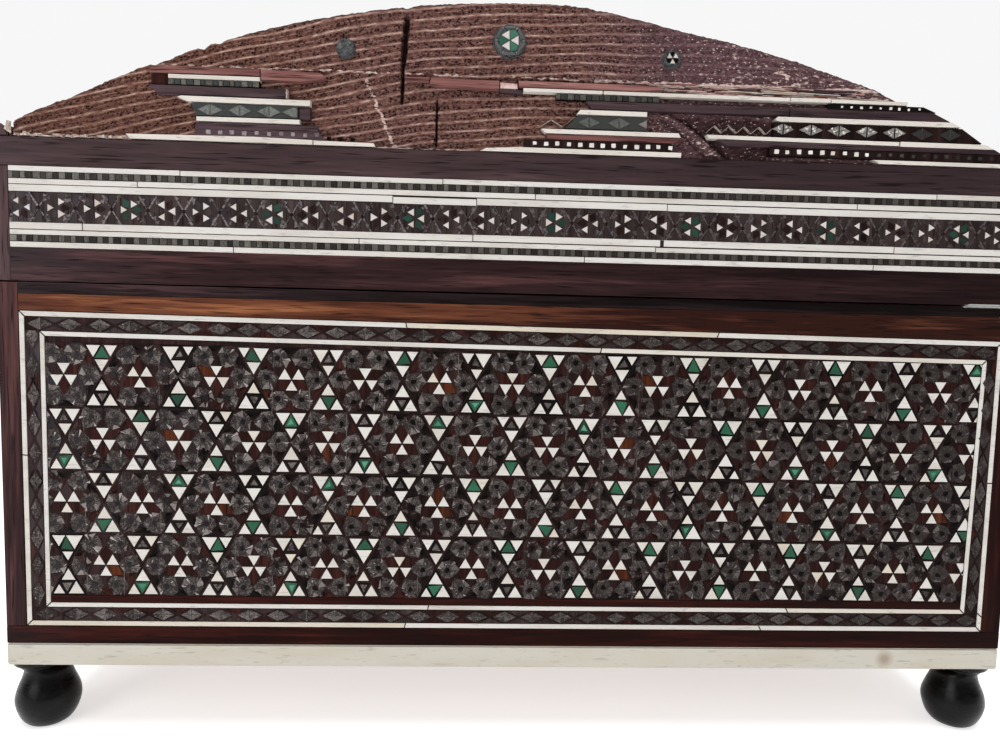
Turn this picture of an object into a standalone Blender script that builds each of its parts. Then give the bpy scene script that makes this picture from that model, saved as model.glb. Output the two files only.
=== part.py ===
"""Inlaid domed box: a barrel-topped wooden casket on four turned bun feet, with a lid hinged at the back.

The box's length runs along X, its depth along Y with the front at -Y, and Z is up. The origin is on
the ground under the middle of the box. The end at +X has lost most of the veneer of its arched gable,
which shows the bare board, three round studs and the remnants of the inlaid strips.
"""

import math

import bmesh
import bpy
from mathutils import Matrix, Vector

MM = 0.001

# Outer sizes.
LENGTH = 290 * MM
DEPTH = 200 * MM
FOOT_HEIGHT = 15.4 * MM
PLINTH_HEIGHT = 4.4 * MM
SEAM_HEIGHT = 75.0 * MM  # from the box's underside to the meeting of base and lid
SPRING_HEIGHT = 102.2 * MM  # from the underside to where the arch starts at the front and back
CROWN_HEIGHT = 130.2 * MM  # from the underside to the top of the arch

# Boards and joints.
GAP = 0.3 * MM  # between neighbouring pieces
WALL = 13 * MM
LIP = 3 * MM  # the part of the front and back boards that laps over the end boards
PLINTH_WIDTH = 2.6 * MM
DOME_THICKNESS = 7 * MM
ARCH_SEGMENTS = 44

# The bare gable: how deep the lost veneer lay, and where the board shows again.
VENEER = 1.2 * MM
LUNETTE_FOOT = 101.9 * MM
CRACKS = (
    # (depth position, lower end, upper end, width, depth of the crack)
    (-24.2 * MM, 110.8 * MM, 135 * MM, 0.8 * MM, 2.2 * MM),
    (-17.9 * MM, 102.2 * MM, 111.4 * MM, 0.5 * MM, 1.4 * MM),
)

# The strips that the veneer was laid in, from the gable's foot upwards.
STRIP_LEVELS = {
    "base_line": (101.9 * MM, 102.8 * MM),
    "dot_row": (102.8 * MM, 105.3 * MM),
    "lower_line": (105.3 * MM, 106.6 * MM),
    "lozenge_row": (106.6 * MM, 109.2 * MM),
    "upper_line": (109.2 * MM, 110.4 * MM),
    "dark_strip": (110.4 * MM, 112.0 * MM),
    "small_dot_row": (112.0 * MM, 113.2 * MM),
    "top_line": (113.2 * MM, 114.2 * MM),
    "red_strip": (114.2 * MM, 115.7 * MM),
}
TO_THE_ARCH = None  # a strip that still runs to the gable's edge

# What is left of each strip, as (start, end) along the depth.
FRONT_REMNANT = {
    "base_line": ((-75.6 * MM, -29.0 * MM),),
    "dot_row": ((-62.8 * MM, -38.8 * MM),),
    "lower_line": ((-62.8 * MM, -43.4 * MM),),
    "lozenge_row": ((-62.8 * MM, -43.4 * MM),),
    "upper_line": ((-66.3 * MM, -41.6 * MM),),
    "dark_strip": ((-71.6 * MM, -45.8 * MM),),
    "small_dot_row": ((-71.6 * MM, -50.9 * MM),),
    "top_line": ((-71.6 * MM, -50.9 * MM),),
    "red_strip": ((-71.6 * MM, -38.3 * MM),),
}
BACK_REMNANT = {
    "base_line": ((-9.9 * MM, 29.3 * MM), (66.7 * MM, TO_THE_ARCH)),
    "dot_row": ((0.5 * MM, 26.8 * MM), (46.5 * MM, TO_THE_ARCH)),
    "lower_line": ((2.0 * MM, 30.7 * MM), (33.6 * MM, TO_THE_ARCH)),
    "lozenge_row": ((8.2 * MM, 22.4 * MM), (47.2 * MM, TO_THE_ARCH)),
    "upper_line": ((8.2 * MM, 22.4 * MM), (47.2 * MM, TO_THE_ARCH)),
    "dark_strip": ((8.2 * MM, TO_THE_ARCH),),
    "small_dot_row": ((4.7 * MM, TO_THE_ARCH),),
    "top_line": ((-1.6 * MM, TO_THE_ARCH),),
    "red_strip": ((-25.0 * MM, 25.7 * MM),),
}

# Studs on the gable: name, depth position, height over the underside, radius.
STUDS = (
    ("stud_small_front", -35.1 * MM, 120.1 * MM, 1.95 * MM),
    ("stud_large", -4.3 * MM, 122.5 * MM, 3.3 * MM),
    ("stud_small_back", 26.8 * MM, 120.4 * MM, 1.95 * MM),
)
STUD_HEIGHT = 0.9 * MM

# Feet, from the underside down.
FOOT_INSET_X = 8.4 * MM
FOOT_INSET_Y = 3.2 * MM
FLANGE_RADIUS = 6.0 * MM
FLANGE_THICKNESS = 0.8 * MM
NECK_RADIUS = 3.7 * MM
NECK_TOP = 2.4 * MM
NECK_END = 4.4 * MM
BULB_RADIUS = 6.2 * MM
BULB_LEVEL = 10.1 * MM
SOLE_RADIUS = 3.2 * MM
FOOT_STEPS = 24

# Strip hinge along the whole back.
AXIS_INSET = 2.6 * MM  # from the back face to the pin
BARREL_RADIUS = 2.0 * MM
BORE_RADIUS = 1.1 * MM
PIN_RADIUS = 0.85 * MM
LEAF_REACH = 9.9 * MM  # from the pin to the leaf's free edge
LEAF_THICKNESS = 0.45 * MM
LEAF_CLEARANCE = 0.1 * MM  # from the seam's middle to each leaf
LEAF_BED = 0.85 * MM  # depth of the bed cut for each leaf
GROOVE_DEPTH = 3.5 * MM  # above and below the pin, so that the edges stop the open lid
KNUCKLES = 15
KNUCKLE_SIDES = 16
HINGE_LENGTH = LENGTH - 1 * MM

# Heights over the ground.
UNDERSIDE = FOOT_HEIGHT
WALL_FOOT = UNDERSIDE + PLINTH_HEIGHT + GAP
SEAM = UNDERSIDE + SEAM_HEIGHT
AXIS_Y = DEPTH / 2 - AXIS_INSET
ARCH_RISE = CROWN_HEIGHT - SPRING_HEIGHT
ARCH_RADIUS = (DEPTH**2 / 4 + ARCH_RISE**2) / (2 * ARCH_RISE)
ARCH_CENTRE = UNDERSIDE + CROWN_HEIGHT - ARCH_RADIUS
UPRIGHT = (math.radians(90), 0, math.radians(90))  # stands a plan in the YZ plane, facing +X

COLOURS = {
    # name: (colour, roughness, metallic)
    "rosewood_marquetry": ((0.055, 0.026, 0.022), 0.38, 0.0),
    "bare_board": ((0.190, 0.085, 0.055), 0.85, 0.0),
    "bone": ((0.760, 0.730, 0.640), 0.40, 0.0),
    "ebonised_wood": ((0.020, 0.020, 0.021), 0.35, 0.0),
    "veneer_strips": ((0.120, 0.080, 0.070), 0.45, 0.0),
    "steel": ((0.450, 0.440, 0.420), 0.35, 1.0),
}


def clear_scene():
    for obj in list(bpy.data.objects):
        bpy.data.objects.remove(obj)


def new_collection(name):
    collection = bpy.data.collections.new(name)
    bpy.context.scene.collection.children.link(collection)
    return collection


def make_materials():
    made = {}
    for name, (colour, roughness, metallic) in COLOURS.items():
        material = bpy.data.materials.new(name)
        material.use_nodes = True
        shader = material.node_tree.nodes["Principled BSDF"]
        shader.inputs["Base Color"].default_value = (*colour, 1.0)
        shader.inputs["Roughness"].default_value = roughness
        shader.inputs["Metallic"].default_value = metallic
        made[name] = material
    return made


def arch_height(y, radius):
    """Height over the ground of an arc about the arch's centre."""
    return ARCH_CENTRE + math.sqrt(radius**2 - y**2)


def arch_reach(z):
    """How far the arch reaches from the middle at height z."""
    return math.sqrt(ARCH_RADIUS**2 - (z - ARCH_CENTRE) ** 2)


def arc_points(radius, start, end):
    """Points of an arc about the arch's centre from depth start to depth end."""
    ys = [start + (end - start) * i / ARCH_SEGMENTS for i in range(ARCH_SEGMENTS + 1)]
    return [(y, arch_height(y, radius)) for y in ys]


class Workshop:
    """Makes pieces and keeps them in the box's collection, and cutters in another."""

    def __init__(self):
        self.parts = new_collection("inlaid_domed_box")
        self.cutters = new_collection("cutters")
        self.materials = make_materials()
        self.base = self.empty("base_frame", (0, 0, 0))
        self.lid = self.empty("lid_hinge_axis", (0, AXIS_Y, SEAM))

    def empty(self, name, place):
        empty = bpy.data.objects.new(name, None)
        empty.location = place
        self.parts.objects.link(empty)
        return empty

    def piece(self, name, mesh, material, parent):
        obj = bpy.data.objects.new(name, mesh)
        mesh.materials.clear()
        mesh.materials.append(self.materials[material])
        obj.parent = parent
        obj.matrix_parent_inverse = Matrix.Translation(parent.location).inverted()
        self.parts.objects.link(obj)
        return obj

    def cutter(self, name, mesh):
        obj = bpy.data.objects.new(name, mesh)
        obj.hide_render = True
        obj.display_type = "WIRE"
        self.cutters.objects.link(obj)
        return obj

    def cut(self, obj, cutter, operation="DIFFERENCE"):
        modifier = obj.modifiers.new(f"{operation.lower()}_{cutter.name}", "BOOLEAN")
        modifier.operation = operation
        modifier.solver = "EXACT"
        modifier.object = cutter


def box_mesh(low, high):
    """A box between two corners."""
    low, high = Vector(low), Vector(high)
    bm = bmesh.new()
    bmesh.ops.create_cube(bm, size=1)
    bmesh.ops.scale(bm, vec=high - low, verts=bm.verts)
    bmesh.ops.translate(bm, vec=(low + high) / 2, verts=bm.verts)
    mesh = bpy.data.meshes.new("box")
    bm.to_mesh(mesh)
    bm.free()
    return mesh


def plate_mesh(outline, low, high, rotation=(0, 0, 0)):
    """A flat outline given thickness from low to high, and turned about the origin."""
    curve = bpy.data.curves.new("plate", "CURVE")
    curve.dimensions = "2D"
    curve.fill_mode = "BOTH"
    curve.extrude = (high - low) / 2
    spline = curve.splines.new("POLY")
    spline.points.add(len(outline) - 1)
    for point, (u, v) in zip(spline.points, outline):
        point.co = (u, v, 0, 1)
    spline.use_cyclic_u = True
    holder = bpy.data.objects.new("plate", curve)
    bpy.context.scene.collection.objects.link(holder)
    graph = bpy.context.evaluated_depsgraph_get()
    mesh = bpy.data.meshes.new_from_object(holder.evaluated_get(graph))
    bpy.data.objects.remove(holder)
    bpy.data.curves.remove(curve)
    bm = bmesh.new()
    bm.from_mesh(mesh)
    bmesh.ops.remove_doubles(bm, verts=bm.verts, dist=0.01 * MM)
    bmesh.ops.translate(bm, vec=(0, 0, (low + high) / 2), verts=bm.verts)
    turn = Matrix.Rotation(rotation[2], 3, "Z") @ Matrix.Rotation(rotation[0], 3, "X")
    bmesh.ops.rotate(bm, matrix=turn, verts=bm.verts)
    bmesh.ops.recalc_face_normals(bm, faces=bm.faces)
    bm.to_mesh(mesh)
    bm.free()
    return mesh


def turned_piece(shop, name, profile, steps, material, parent):
    """A piece turned about its own Z axis, from a profile of (radius, height) that runs top to bottom."""
    bm = bmesh.new()
    rim = [bm.verts.new((radius, 0, height)) for radius, height in profile]
    for upper, lower in zip(rim, rim[1:]):
        bm.edges.new((upper, lower))
    mesh = bpy.data.meshes.new(name)
    bm.to_mesh(mesh)
    bm.free()
    obj = shop.piece(name, mesh, material, parent)
    screw = obj.modifiers.new("turn", "SCREW")
    screw.steps = screw.render_steps = steps
    screw.use_merge_vertices = True
    screw.merge_threshold = 0.00005
    screw.use_smooth_shade = True
    return obj


def plinth(shop):
    """The floor board and the bone strips that edge it."""
    half_length, half_depth = LENGTH / 2, DEPTH / 2
    top = UNDERSIDE + PLINTH_HEIGHT
    inner_x = half_length - PLINTH_WIDTH - GAP
    inner_y = half_depth - PLINTH_WIDTH - GAP
    floor = box_mesh((-inner_x, -inner_y, UNDERSIDE), (inner_x, inner_y, top))
    shop.piece("floor_board", floor, "bare_board", shop.base)
    for side, name in ((-1, "front"), (1, "back")):
        ys = sorted((side * half_depth, side * (half_depth - PLINTH_WIDTH)))
        strip = box_mesh((-inner_x, ys[0], UNDERSIDE), (inner_x, ys[1], top))
        shop.piece(f"plinth_{name}_strip", strip, "bone", shop.base)
    for side, name in ((-1, "left"), (1, "right")):
        xs = sorted((side * half_length, side * (half_length - PLINTH_WIDTH)))
        strip = box_mesh((xs[0], -half_depth, UNDERSIDE), (xs[1], half_depth, top))
        shop.piece(f"plinth_{name}_strip", strip, "bone", shop.base)


def corner_rebates(shop):
    """Cutters for the ends of the front (-1) and back (1) boards, which leave a lip over the end boards."""
    near, far = LENGTH / 2 - WALL - GAP, LENGTH / 2 + WALL
    joint = DEPTH / 2 - LIP
    low, high = UNDERSIDE, UNDERSIDE + CROWN_HEIGHT
    cutters = {-1: [], 1: []}
    for side in (-1, 1):
        ys = sorted((side * joint, side * (joint - 2 * WALL)))
        for end in (-1, 1):
            xs = sorted((end * near, end * far))
            mesh = box_mesh((xs[0], ys[0], low), (xs[1], ys[1], high))
            cutters[side].append(shop.cutter(f"rebate_{side}_{end}", mesh))
    return cutters


def hinge_bed(shop):
    """The bed for the two leaves and the groove for the barrel, cut alike into base and lid."""
    back = AXIS_INSET + WALL
    corner = BARREL_RADIUS + GAP + 0.05 * MM
    upper = [
        (-(LEAF_REACH + GAP), LEAF_BED),
        (-corner, LEAF_BED),
        (-corner, GROOVE_DEPTH),
        (back, GROOVE_DEPTH),
    ]
    whole = upper + [(y, -z) for y, z in reversed(upper)]
    outline = [(AXIS_Y + y, SEAM + z) for y, z in whole]
    return shop.cutter("hinge_bed", plate_mesh(outline, -LENGTH, LENGTH, UPRIGHT))


def base_walls(shop, rebates, bed):
    """The four walls that stand on the plinth."""
    half, top = LENGTH / 2, SEAM - GAP / 2
    for side, name in ((-1, "front"), (1, "back")):
        ys = sorted((side * DEPTH / 2, side * (DEPTH / 2 - WALL)))
        mesh = box_mesh((-half, ys[0], WALL_FOOT), (half, ys[1], top))
        board = shop.piece(f"base_{name}_board", mesh, "rosewood_marquetry", shop.base)
        for rebate in rebates[side]:
            shop.cut(board, rebate)
        if side > 0:
            shop.cut(board, bed)
    reach = DEPTH / 2 - LIP - GAP
    for side, name in ((-1, "left"), (1, "right")):
        xs = sorted((side * half, side * (half - WALL)))
        mesh = box_mesh((xs[0], -reach, WALL_FOOT), (xs[1], reach, top))
        board = shop.piece(f"base_{name}_board", mesh, "rosewood_marquetry", shop.base)
        shop.cut(board, bed)


def rail_section(side):
    """Section of the lid's front (-1) or back (1) board: a lip that follows the arch, and a rebate for the dome."""
    outer, joint, inner = DEPTH / 2, DEPTH / 2 - LIP, DEPTH / 2 - WALL
    seat = ARCH_RADIUS - DOME_THICKNESS - GAP
    foot = SEAM + GAP / 2
    section = [
        (outer, foot),
        (outer, arch_height(outer, ARCH_RADIUS)),
        (joint, arch_height(joint, ARCH_RADIUS)),
        (joint, arch_height(joint, seat)),
        (inner, arch_height(inner, seat)),
        (inner, foot),
    ]
    return [(side * y, z) for y, z in section]


def lid_walls(shop, rebates, bed):
    """The lid's front and back boards and its two arched gables."""
    half = LENGTH / 2
    for side, name in ((-1, "front"), (1, "back")):
        mesh = plate_mesh(rail_section(side), -half, half, UPRIGHT)
        board = shop.piece(f"lid_{name}_board", mesh, "rosewood_marquetry", shop.lid)
        for rebate in rebates[side]:
            shop.cut(board, rebate)
        if side > 0:
            shop.cut(board, bed)
    reach = DEPTH / 2 - LIP - GAP
    foot = SEAM + GAP / 2
    outline = [(-reach, foot), (reach, foot)] + arc_points(ARCH_RADIUS, reach, -reach)
    for end, name in ((-1, "left"), (1, "right")):
        xs = sorted((end * half, end * (half - WALL)))
        mesh = plate_mesh(outline, xs[0], xs[1], UPRIGHT)
        gable = shop.piece(f"lid_{name}_gable", mesh, "rosewood_marquetry", shop.lid)
        shop.cut(gable, bed)
        if end > 0:
            bare_lunette(shop, gable)


def bare_lunette(shop, gable):
    """Sinks the arched part of a gable by the lost veneer, and opens the cracks in its board."""
    face = LENGTH / 2
    low = (face - VENEER, -DEPTH, UNDERSIDE + LUNETTE_FOOT)
    high = (face + VENEER, DEPTH, UNDERSIDE + CROWN_HEIGHT + WALL)
    shop.cut(gable, shop.cutter("lunette_recess", box_mesh(low, high)))
    for i, (y, foot, top, width, sink) in enumerate(CRACKS):
        low = (face - VENEER - sink, y - width / 2, UNDERSIDE + foot)
        high = (face + VENEER, y + width / 2, UNDERSIDE + top)
        shop.cut(gable, shop.cutter(f"crack_{i}", box_mesh(low, high)))


def dome(shop):
    """The curved top panel, which lies in the rebates between the gables."""
    reach = DEPTH / 2 - LIP - GAP
    inner = ARCH_RADIUS - DOME_THICKNESS
    outline = arc_points(ARCH_RADIUS, -reach, reach) + arc_points(inner, reach, -reach)
    length = LENGTH / 2 - WALL - GAP
    mesh = plate_mesh(outline, -length, length, UPRIGHT)
    mesh.shade_smooth()
    mesh.set_sharp_from_angle(angle=math.radians(30))
    shop.piece("lid_dome_panel", mesh, "rosewood_marquetry", shop.lid)


def remnant(shop, name, spans):
    """What is left of the gable's veneer, as one plate whose cells are the strips' lengths."""
    cells = []
    for strip, lengths in spans.items():
        low, high = STRIP_LEVELS[strip]
        edge = arch_reach(UNDERSIDE + high) - GAP
        limit = min(edge, DEPTH / 2 - LIP - GAP)
        for start, end in lengths:
            cells.append((start, limit if end is TO_THE_ARCH else end, low, high))
    cuts = sorted({y for cell in cells for y in cell[:2]})
    levels = sorted({z for cell in cells for z in cell[2:]})
    bm = bmesh.new()
    face_x = LENGTH / 2 - VENEER + GAP
    lift = {z: GAP if z == levels[0] else 0 for z in levels}
    corner = {
        (y, z): bm.verts.new((face_x, y, UNDERSIDE + z + lift[z]))
        for y in cuts
        for z in levels
    }
    for left, right in zip(cuts, cuts[1:]):
        for low, high in zip(levels, levels[1:]):
            y, z = (left + right) / 2, (low + high) / 2
            if any(a < y < b and c < z < d for a, b, c, d in cells):
                ring = [(left, low), (right, low), (right, high), (left, high)]
                bm.faces.new([corner[place] for place in ring])
    loose = [vert for vert in bm.verts if not vert.link_faces]
    bmesh.ops.delete(bm, geom=loose, context="VERTS")
    bmesh.ops.dissolve_limit(
        bm, angle_limit=math.radians(1), verts=bm.verts, edges=bm.edges
    )
    mesh = bpy.data.meshes.new(name)
    bm.to_mesh(mesh)
    bm.free()
    obj = shop.piece(name, mesh, "veneer_strips", shop.lid)
    solidify = obj.modifiers.new("thickness", "SOLIDIFY")
    solidify.thickness = VENEER - GAP
    solidify.offset = 1


def studs(shop):
    """Three round studs on the bare gable."""
    seat = LENGTH / 2 - VENEER + GAP
    height = min(STUD_HEIGHT, VENEER - GAP)
    for name, y, z, radius in STUDS:
        profile = [
            (0, height),
            (radius * 0.45, height * 0.96),
            (radius * 0.8, height * 0.82),
            (radius * 0.97, height * 0.55),
            (radius, 0),
            (0, 0),
        ]
        stud = turned_piece(shop, name, profile, FOOT_STEPS, "veneer_strips", shop.lid)
        stud.rotation_euler = (0, math.radians(90), 0)
        stud.location = (seat, y, UNDERSIDE + z)


def foot_profile():
    """The foot's profile from its flange to its sole: a cove, a neck and a bulb."""
    top = FOOT_HEIGHT - GAP
    profile = [(0, top), (FLANGE_RADIUS, top), (FLANGE_RADIUS, top - FLANGE_THICKNESS)]
    cove = 3
    for i in range(1, cove + 1):
        angle = math.radians(90) * i / cove
        radius = FLANGE_RADIUS - (FLANGE_RADIUS - NECK_RADIUS) * math.sin(angle)
        drop = NECK_TOP - (NECK_TOP - FLANGE_THICKNESS) * math.cos(angle)
        profile.append((radius, top - drop))
    swell = 6
    for i in range(swell + 1):
        share = i / swell
        ease = (1 - math.cos(math.pi * share)) / 2
        radius = NECK_RADIUS + (BULB_RADIUS - NECK_RADIUS) * ease
        profile.append((radius, top - NECK_END - (BULB_LEVEL - NECK_END) * share))
    sole_drop = top - BULB_LEVEL
    under = 6
    for i in range(1, under + 1):
        angle = math.radians(90) * i / under
        radius = SOLE_RADIUS + (BULB_RADIUS - SOLE_RADIUS) * math.cos(angle)
        profile.append((radius, sole_drop * (1 - math.sin(angle) ** 1.35)))
    profile[-1] = (SOLE_RADIUS, 0)
    profile.append((0, 0))
    return profile


def feet(shop):
    """Four turned bun feet, set close to the corners."""
    profile = foot_profile()
    for side_y, front in ((-1, "front"), (1, "back")):
        for side_x, left in ((-1, "left"), (1, "right")):
            name = f"foot_{front}_{left}"
            foot = turned_piece(shop, name, profile, FOOT_STEPS, "ebonised_wood", shop.base)
            x = side_x * (LENGTH / 2 - FOOT_INSET_X)
            foot.location = (x, side_y * (DEPTH / 2 - FOOT_INSET_Y), 0)


def knuckle_spans(owner):
    """(start, end) along X of the base's (0) or the lid's (1) knuckles."""
    pitch = HINGE_LENGTH / KNUCKLES
    starts = [-HINGE_LENGTH / 2 + i * pitch for i in range(owner, KNUCKLES, 2)]
    return [(start + GAP / 2, start + pitch - GAP / 2) for start in starts]


def leaf_outline(owner):
    """Plan of a leaf: a long plate with one tab for each of its knuckles."""
    free, clear = -LEAF_REACH, -(BARREL_RADIUS + GAP)
    tab = -(BORE_RADIUS + 0.3 * MM)
    half = HINGE_LENGTH / 2
    outline = [(half, free), (-half, free)]
    for start, end in knuckle_spans(owner):
        outline += [(start, clear), (start, tab), (end, tab), (end, clear)]
    if outline[2][0] > -half + GAP:
        outline.insert(2, (-half, clear))
    if outline[-1][0] < half - GAP:
        outline.append((half, clear))
    return outline


def knuckle_mesh(spans):
    """Tubes about the X axis, one for each span."""
    bm = bmesh.new()
    angles = [math.tau * i / KNUCKLE_SIDES for i in range(KNUCKLE_SIDES)]
    for start, end in spans:
        rings = (
            (start, BORE_RADIUS),
            (start, BARREL_RADIUS),
            (end, BARREL_RADIUS),
            (end, BORE_RADIUS),
        )
        loops = []
        for x, radius in rings:
            loop = [(x, radius * math.cos(a), radius * math.sin(a)) for a in angles]
            loops.append([bm.verts.new(place) for place in loop])
        for here, there in zip(loops, loops[1:] + loops[:1]):
            for i in range(KNUCKLE_SIDES):
                j = (i + 1) % KNUCKLE_SIDES
                bm.faces.new((here[i], here[j], there[j], there[i]))
    bmesh.ops.recalc_face_normals(bm, faces=bm.faces)
    mesh = bpy.data.meshes.new("knuckles")
    bm.to_mesh(mesh)
    bm.free()
    return mesh


def hinge(shop):
    """A strip hinge: a leaf under the lid, a leaf on the base and one long pin."""
    place = Vector((0, AXIS_Y, SEAM))
    for owner, name, side in ((0, "hinge_base_leaf", -1), (1, "hinge_lid_leaf", 1)):
        near, far = LEAF_CLEARANCE, LEAF_CLEARANCE + LEAF_THICKNESS
        low, high = sorted((side * near, side * far))
        mesh = plate_mesh(leaf_outline(owner), low, high)
        leaf = shop.piece(name, mesh, "steel", shop.lid if owner else shop.base)
        leaf.location = place
        tubes = shop.cutter(f"{name}_knuckles", knuckle_mesh(knuckle_spans(owner)))
        tubes.location = place
        shop.cut(leaf, tubes, "UNION")
    bm = bmesh.new()
    bmesh.ops.create_cone(
        bm,
        cap_ends=True,
        segments=KNUCKLE_SIDES,
        radius1=PIN_RADIUS,
        radius2=PIN_RADIUS,
        depth=HINGE_LENGTH,
        matrix=Matrix.Rotation(math.radians(90), 4, "Y"),
    )
    mesh = bpy.data.meshes.new("pin")
    bm.to_mesh(mesh)
    bm.free()
    mesh.shade_smooth()
    mesh.set_sharp_from_angle(angle=math.radians(40))
    pin = shop.piece("hinge_pin", mesh, "steel", shop.base)
    pin.location = place


def main():
    clear_scene()
    shop = Workshop()
    plinth(shop)
    rebates = corner_rebates(shop)
    bed = hinge_bed(shop)
    base_walls(shop, rebates, bed)
    lid_walls(shop, rebates, bed)
    dome(shop)
    remnant(shop, "veneer_remnant_front", FRONT_REMNANT)
    remnant(shop, "veneer_remnant_back", BACK_REMNANT)
    studs(shop)
    feet(shop)
    hinge(shop)


main()
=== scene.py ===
"""Inlaid domed box: the visual model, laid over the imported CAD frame.

The box's boards are covered with rosewood veneer, bone stringing and a mosaic of bone, stained bone,
pewter and dark woods. Every veneer and every tile is a little prism set on a dark ground, flush with
the CAD face. The arch of the right gable has lost most of its veneer and shows the coarse board.
Lengths are in millimetres and become metres only where a mesh point is made. X runs along the box's
length, Y along its depth with the front at -Y, and heights called "up" start at the box's underside.
"""

import logging
import math
import random
from collections.abc import Iterable, Sequence
from dataclasses import dataclass, field
from enum import Enum

import bmesh
import bpy
from mathutils import Matrix, Vector, noise


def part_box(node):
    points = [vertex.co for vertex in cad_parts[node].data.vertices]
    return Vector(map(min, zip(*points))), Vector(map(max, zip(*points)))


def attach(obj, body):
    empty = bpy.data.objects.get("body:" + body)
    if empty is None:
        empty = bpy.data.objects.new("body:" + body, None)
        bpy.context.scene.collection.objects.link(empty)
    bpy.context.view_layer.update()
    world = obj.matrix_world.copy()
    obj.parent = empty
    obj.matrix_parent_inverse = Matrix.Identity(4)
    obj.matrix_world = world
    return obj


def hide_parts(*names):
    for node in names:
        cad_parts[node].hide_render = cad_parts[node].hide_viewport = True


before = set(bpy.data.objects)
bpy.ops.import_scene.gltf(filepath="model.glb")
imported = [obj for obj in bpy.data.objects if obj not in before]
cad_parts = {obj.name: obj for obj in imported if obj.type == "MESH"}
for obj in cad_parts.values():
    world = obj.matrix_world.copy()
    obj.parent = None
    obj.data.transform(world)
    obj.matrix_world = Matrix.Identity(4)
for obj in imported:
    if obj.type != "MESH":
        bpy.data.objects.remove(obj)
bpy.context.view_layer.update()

log = logging.getLogger("domed_box")

MM = 0.001
Point = tuple[float, float]
Outline = list[Point]

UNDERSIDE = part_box("floor_board")[0][2] / MM
HALF_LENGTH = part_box("plinth_front_strip")[1][0] / MM + 2.9
HALF_DEPTH = -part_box("base_front_board")[0][1] / MM
SEAM = (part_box("base_front_board")[1][2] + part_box("lid_front_board")[0][2]) / 2 / MM - UNDERSIDE
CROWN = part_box("lid_dome_panel")[1][2] / MM - UNDERSIDE
ARCH_RADIUS = 192.571
ARCH_CENTRE = CROWN - ARCH_RADIUS
LUNETTE_FOOT = 101.9
VENEER = 1.2  # how far the lost veneer stood in front of the bare gable
FLOWER_SIDE = 7.153  # a mosaic flower's side, which sets the whole lattice
TOP_ROW = 57.5  # the height of the top row of flowers
LEAF_EDGE = 87.3  # where the ends of the hinge's leaves begin to show
GROOVE = 95.0  # where the groove for the hinge's barrel begins
GROOVE_FOOT, GROOVE_HEAD = 71.4, 78.6  # the heights that it lies between
RAIL_TOP = 81.4  # the top of the lid's lower rail
SMALLEST_TILE = 0.06  # in square mm; a sliver below it is left out
BAND = 2.62  # how wide the lozenge bands are
LONG_EDGE = HALF_LENGTH - 3.9  # how far the frame on a long side reaches from the middle


# ---------------------------------------------------------------- materials


def linear(colour: str) -> tuple[float, float, float, float]:
    """Turns an sRGB hex colour linear.

    Args:
        colour: as "#rrggbb".

    Returns:
        The red, green, blue and alpha that Blender works with.
    """
    channels = [int(colour[start : start + 2], 16) / 255 for start in (1, 3, 5)]
    curve = [c / 12.92 if c <= 0.04045 else ((c + 0.055) / 1.055) ** 2.4 for c in channels]
    return curve[0], curve[1], curve[2], 1.0


# What an input of a node may be given; a string is a hex colour.
Input = bpy.types.NodeSocket | float | str | Sequence[float]


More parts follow.
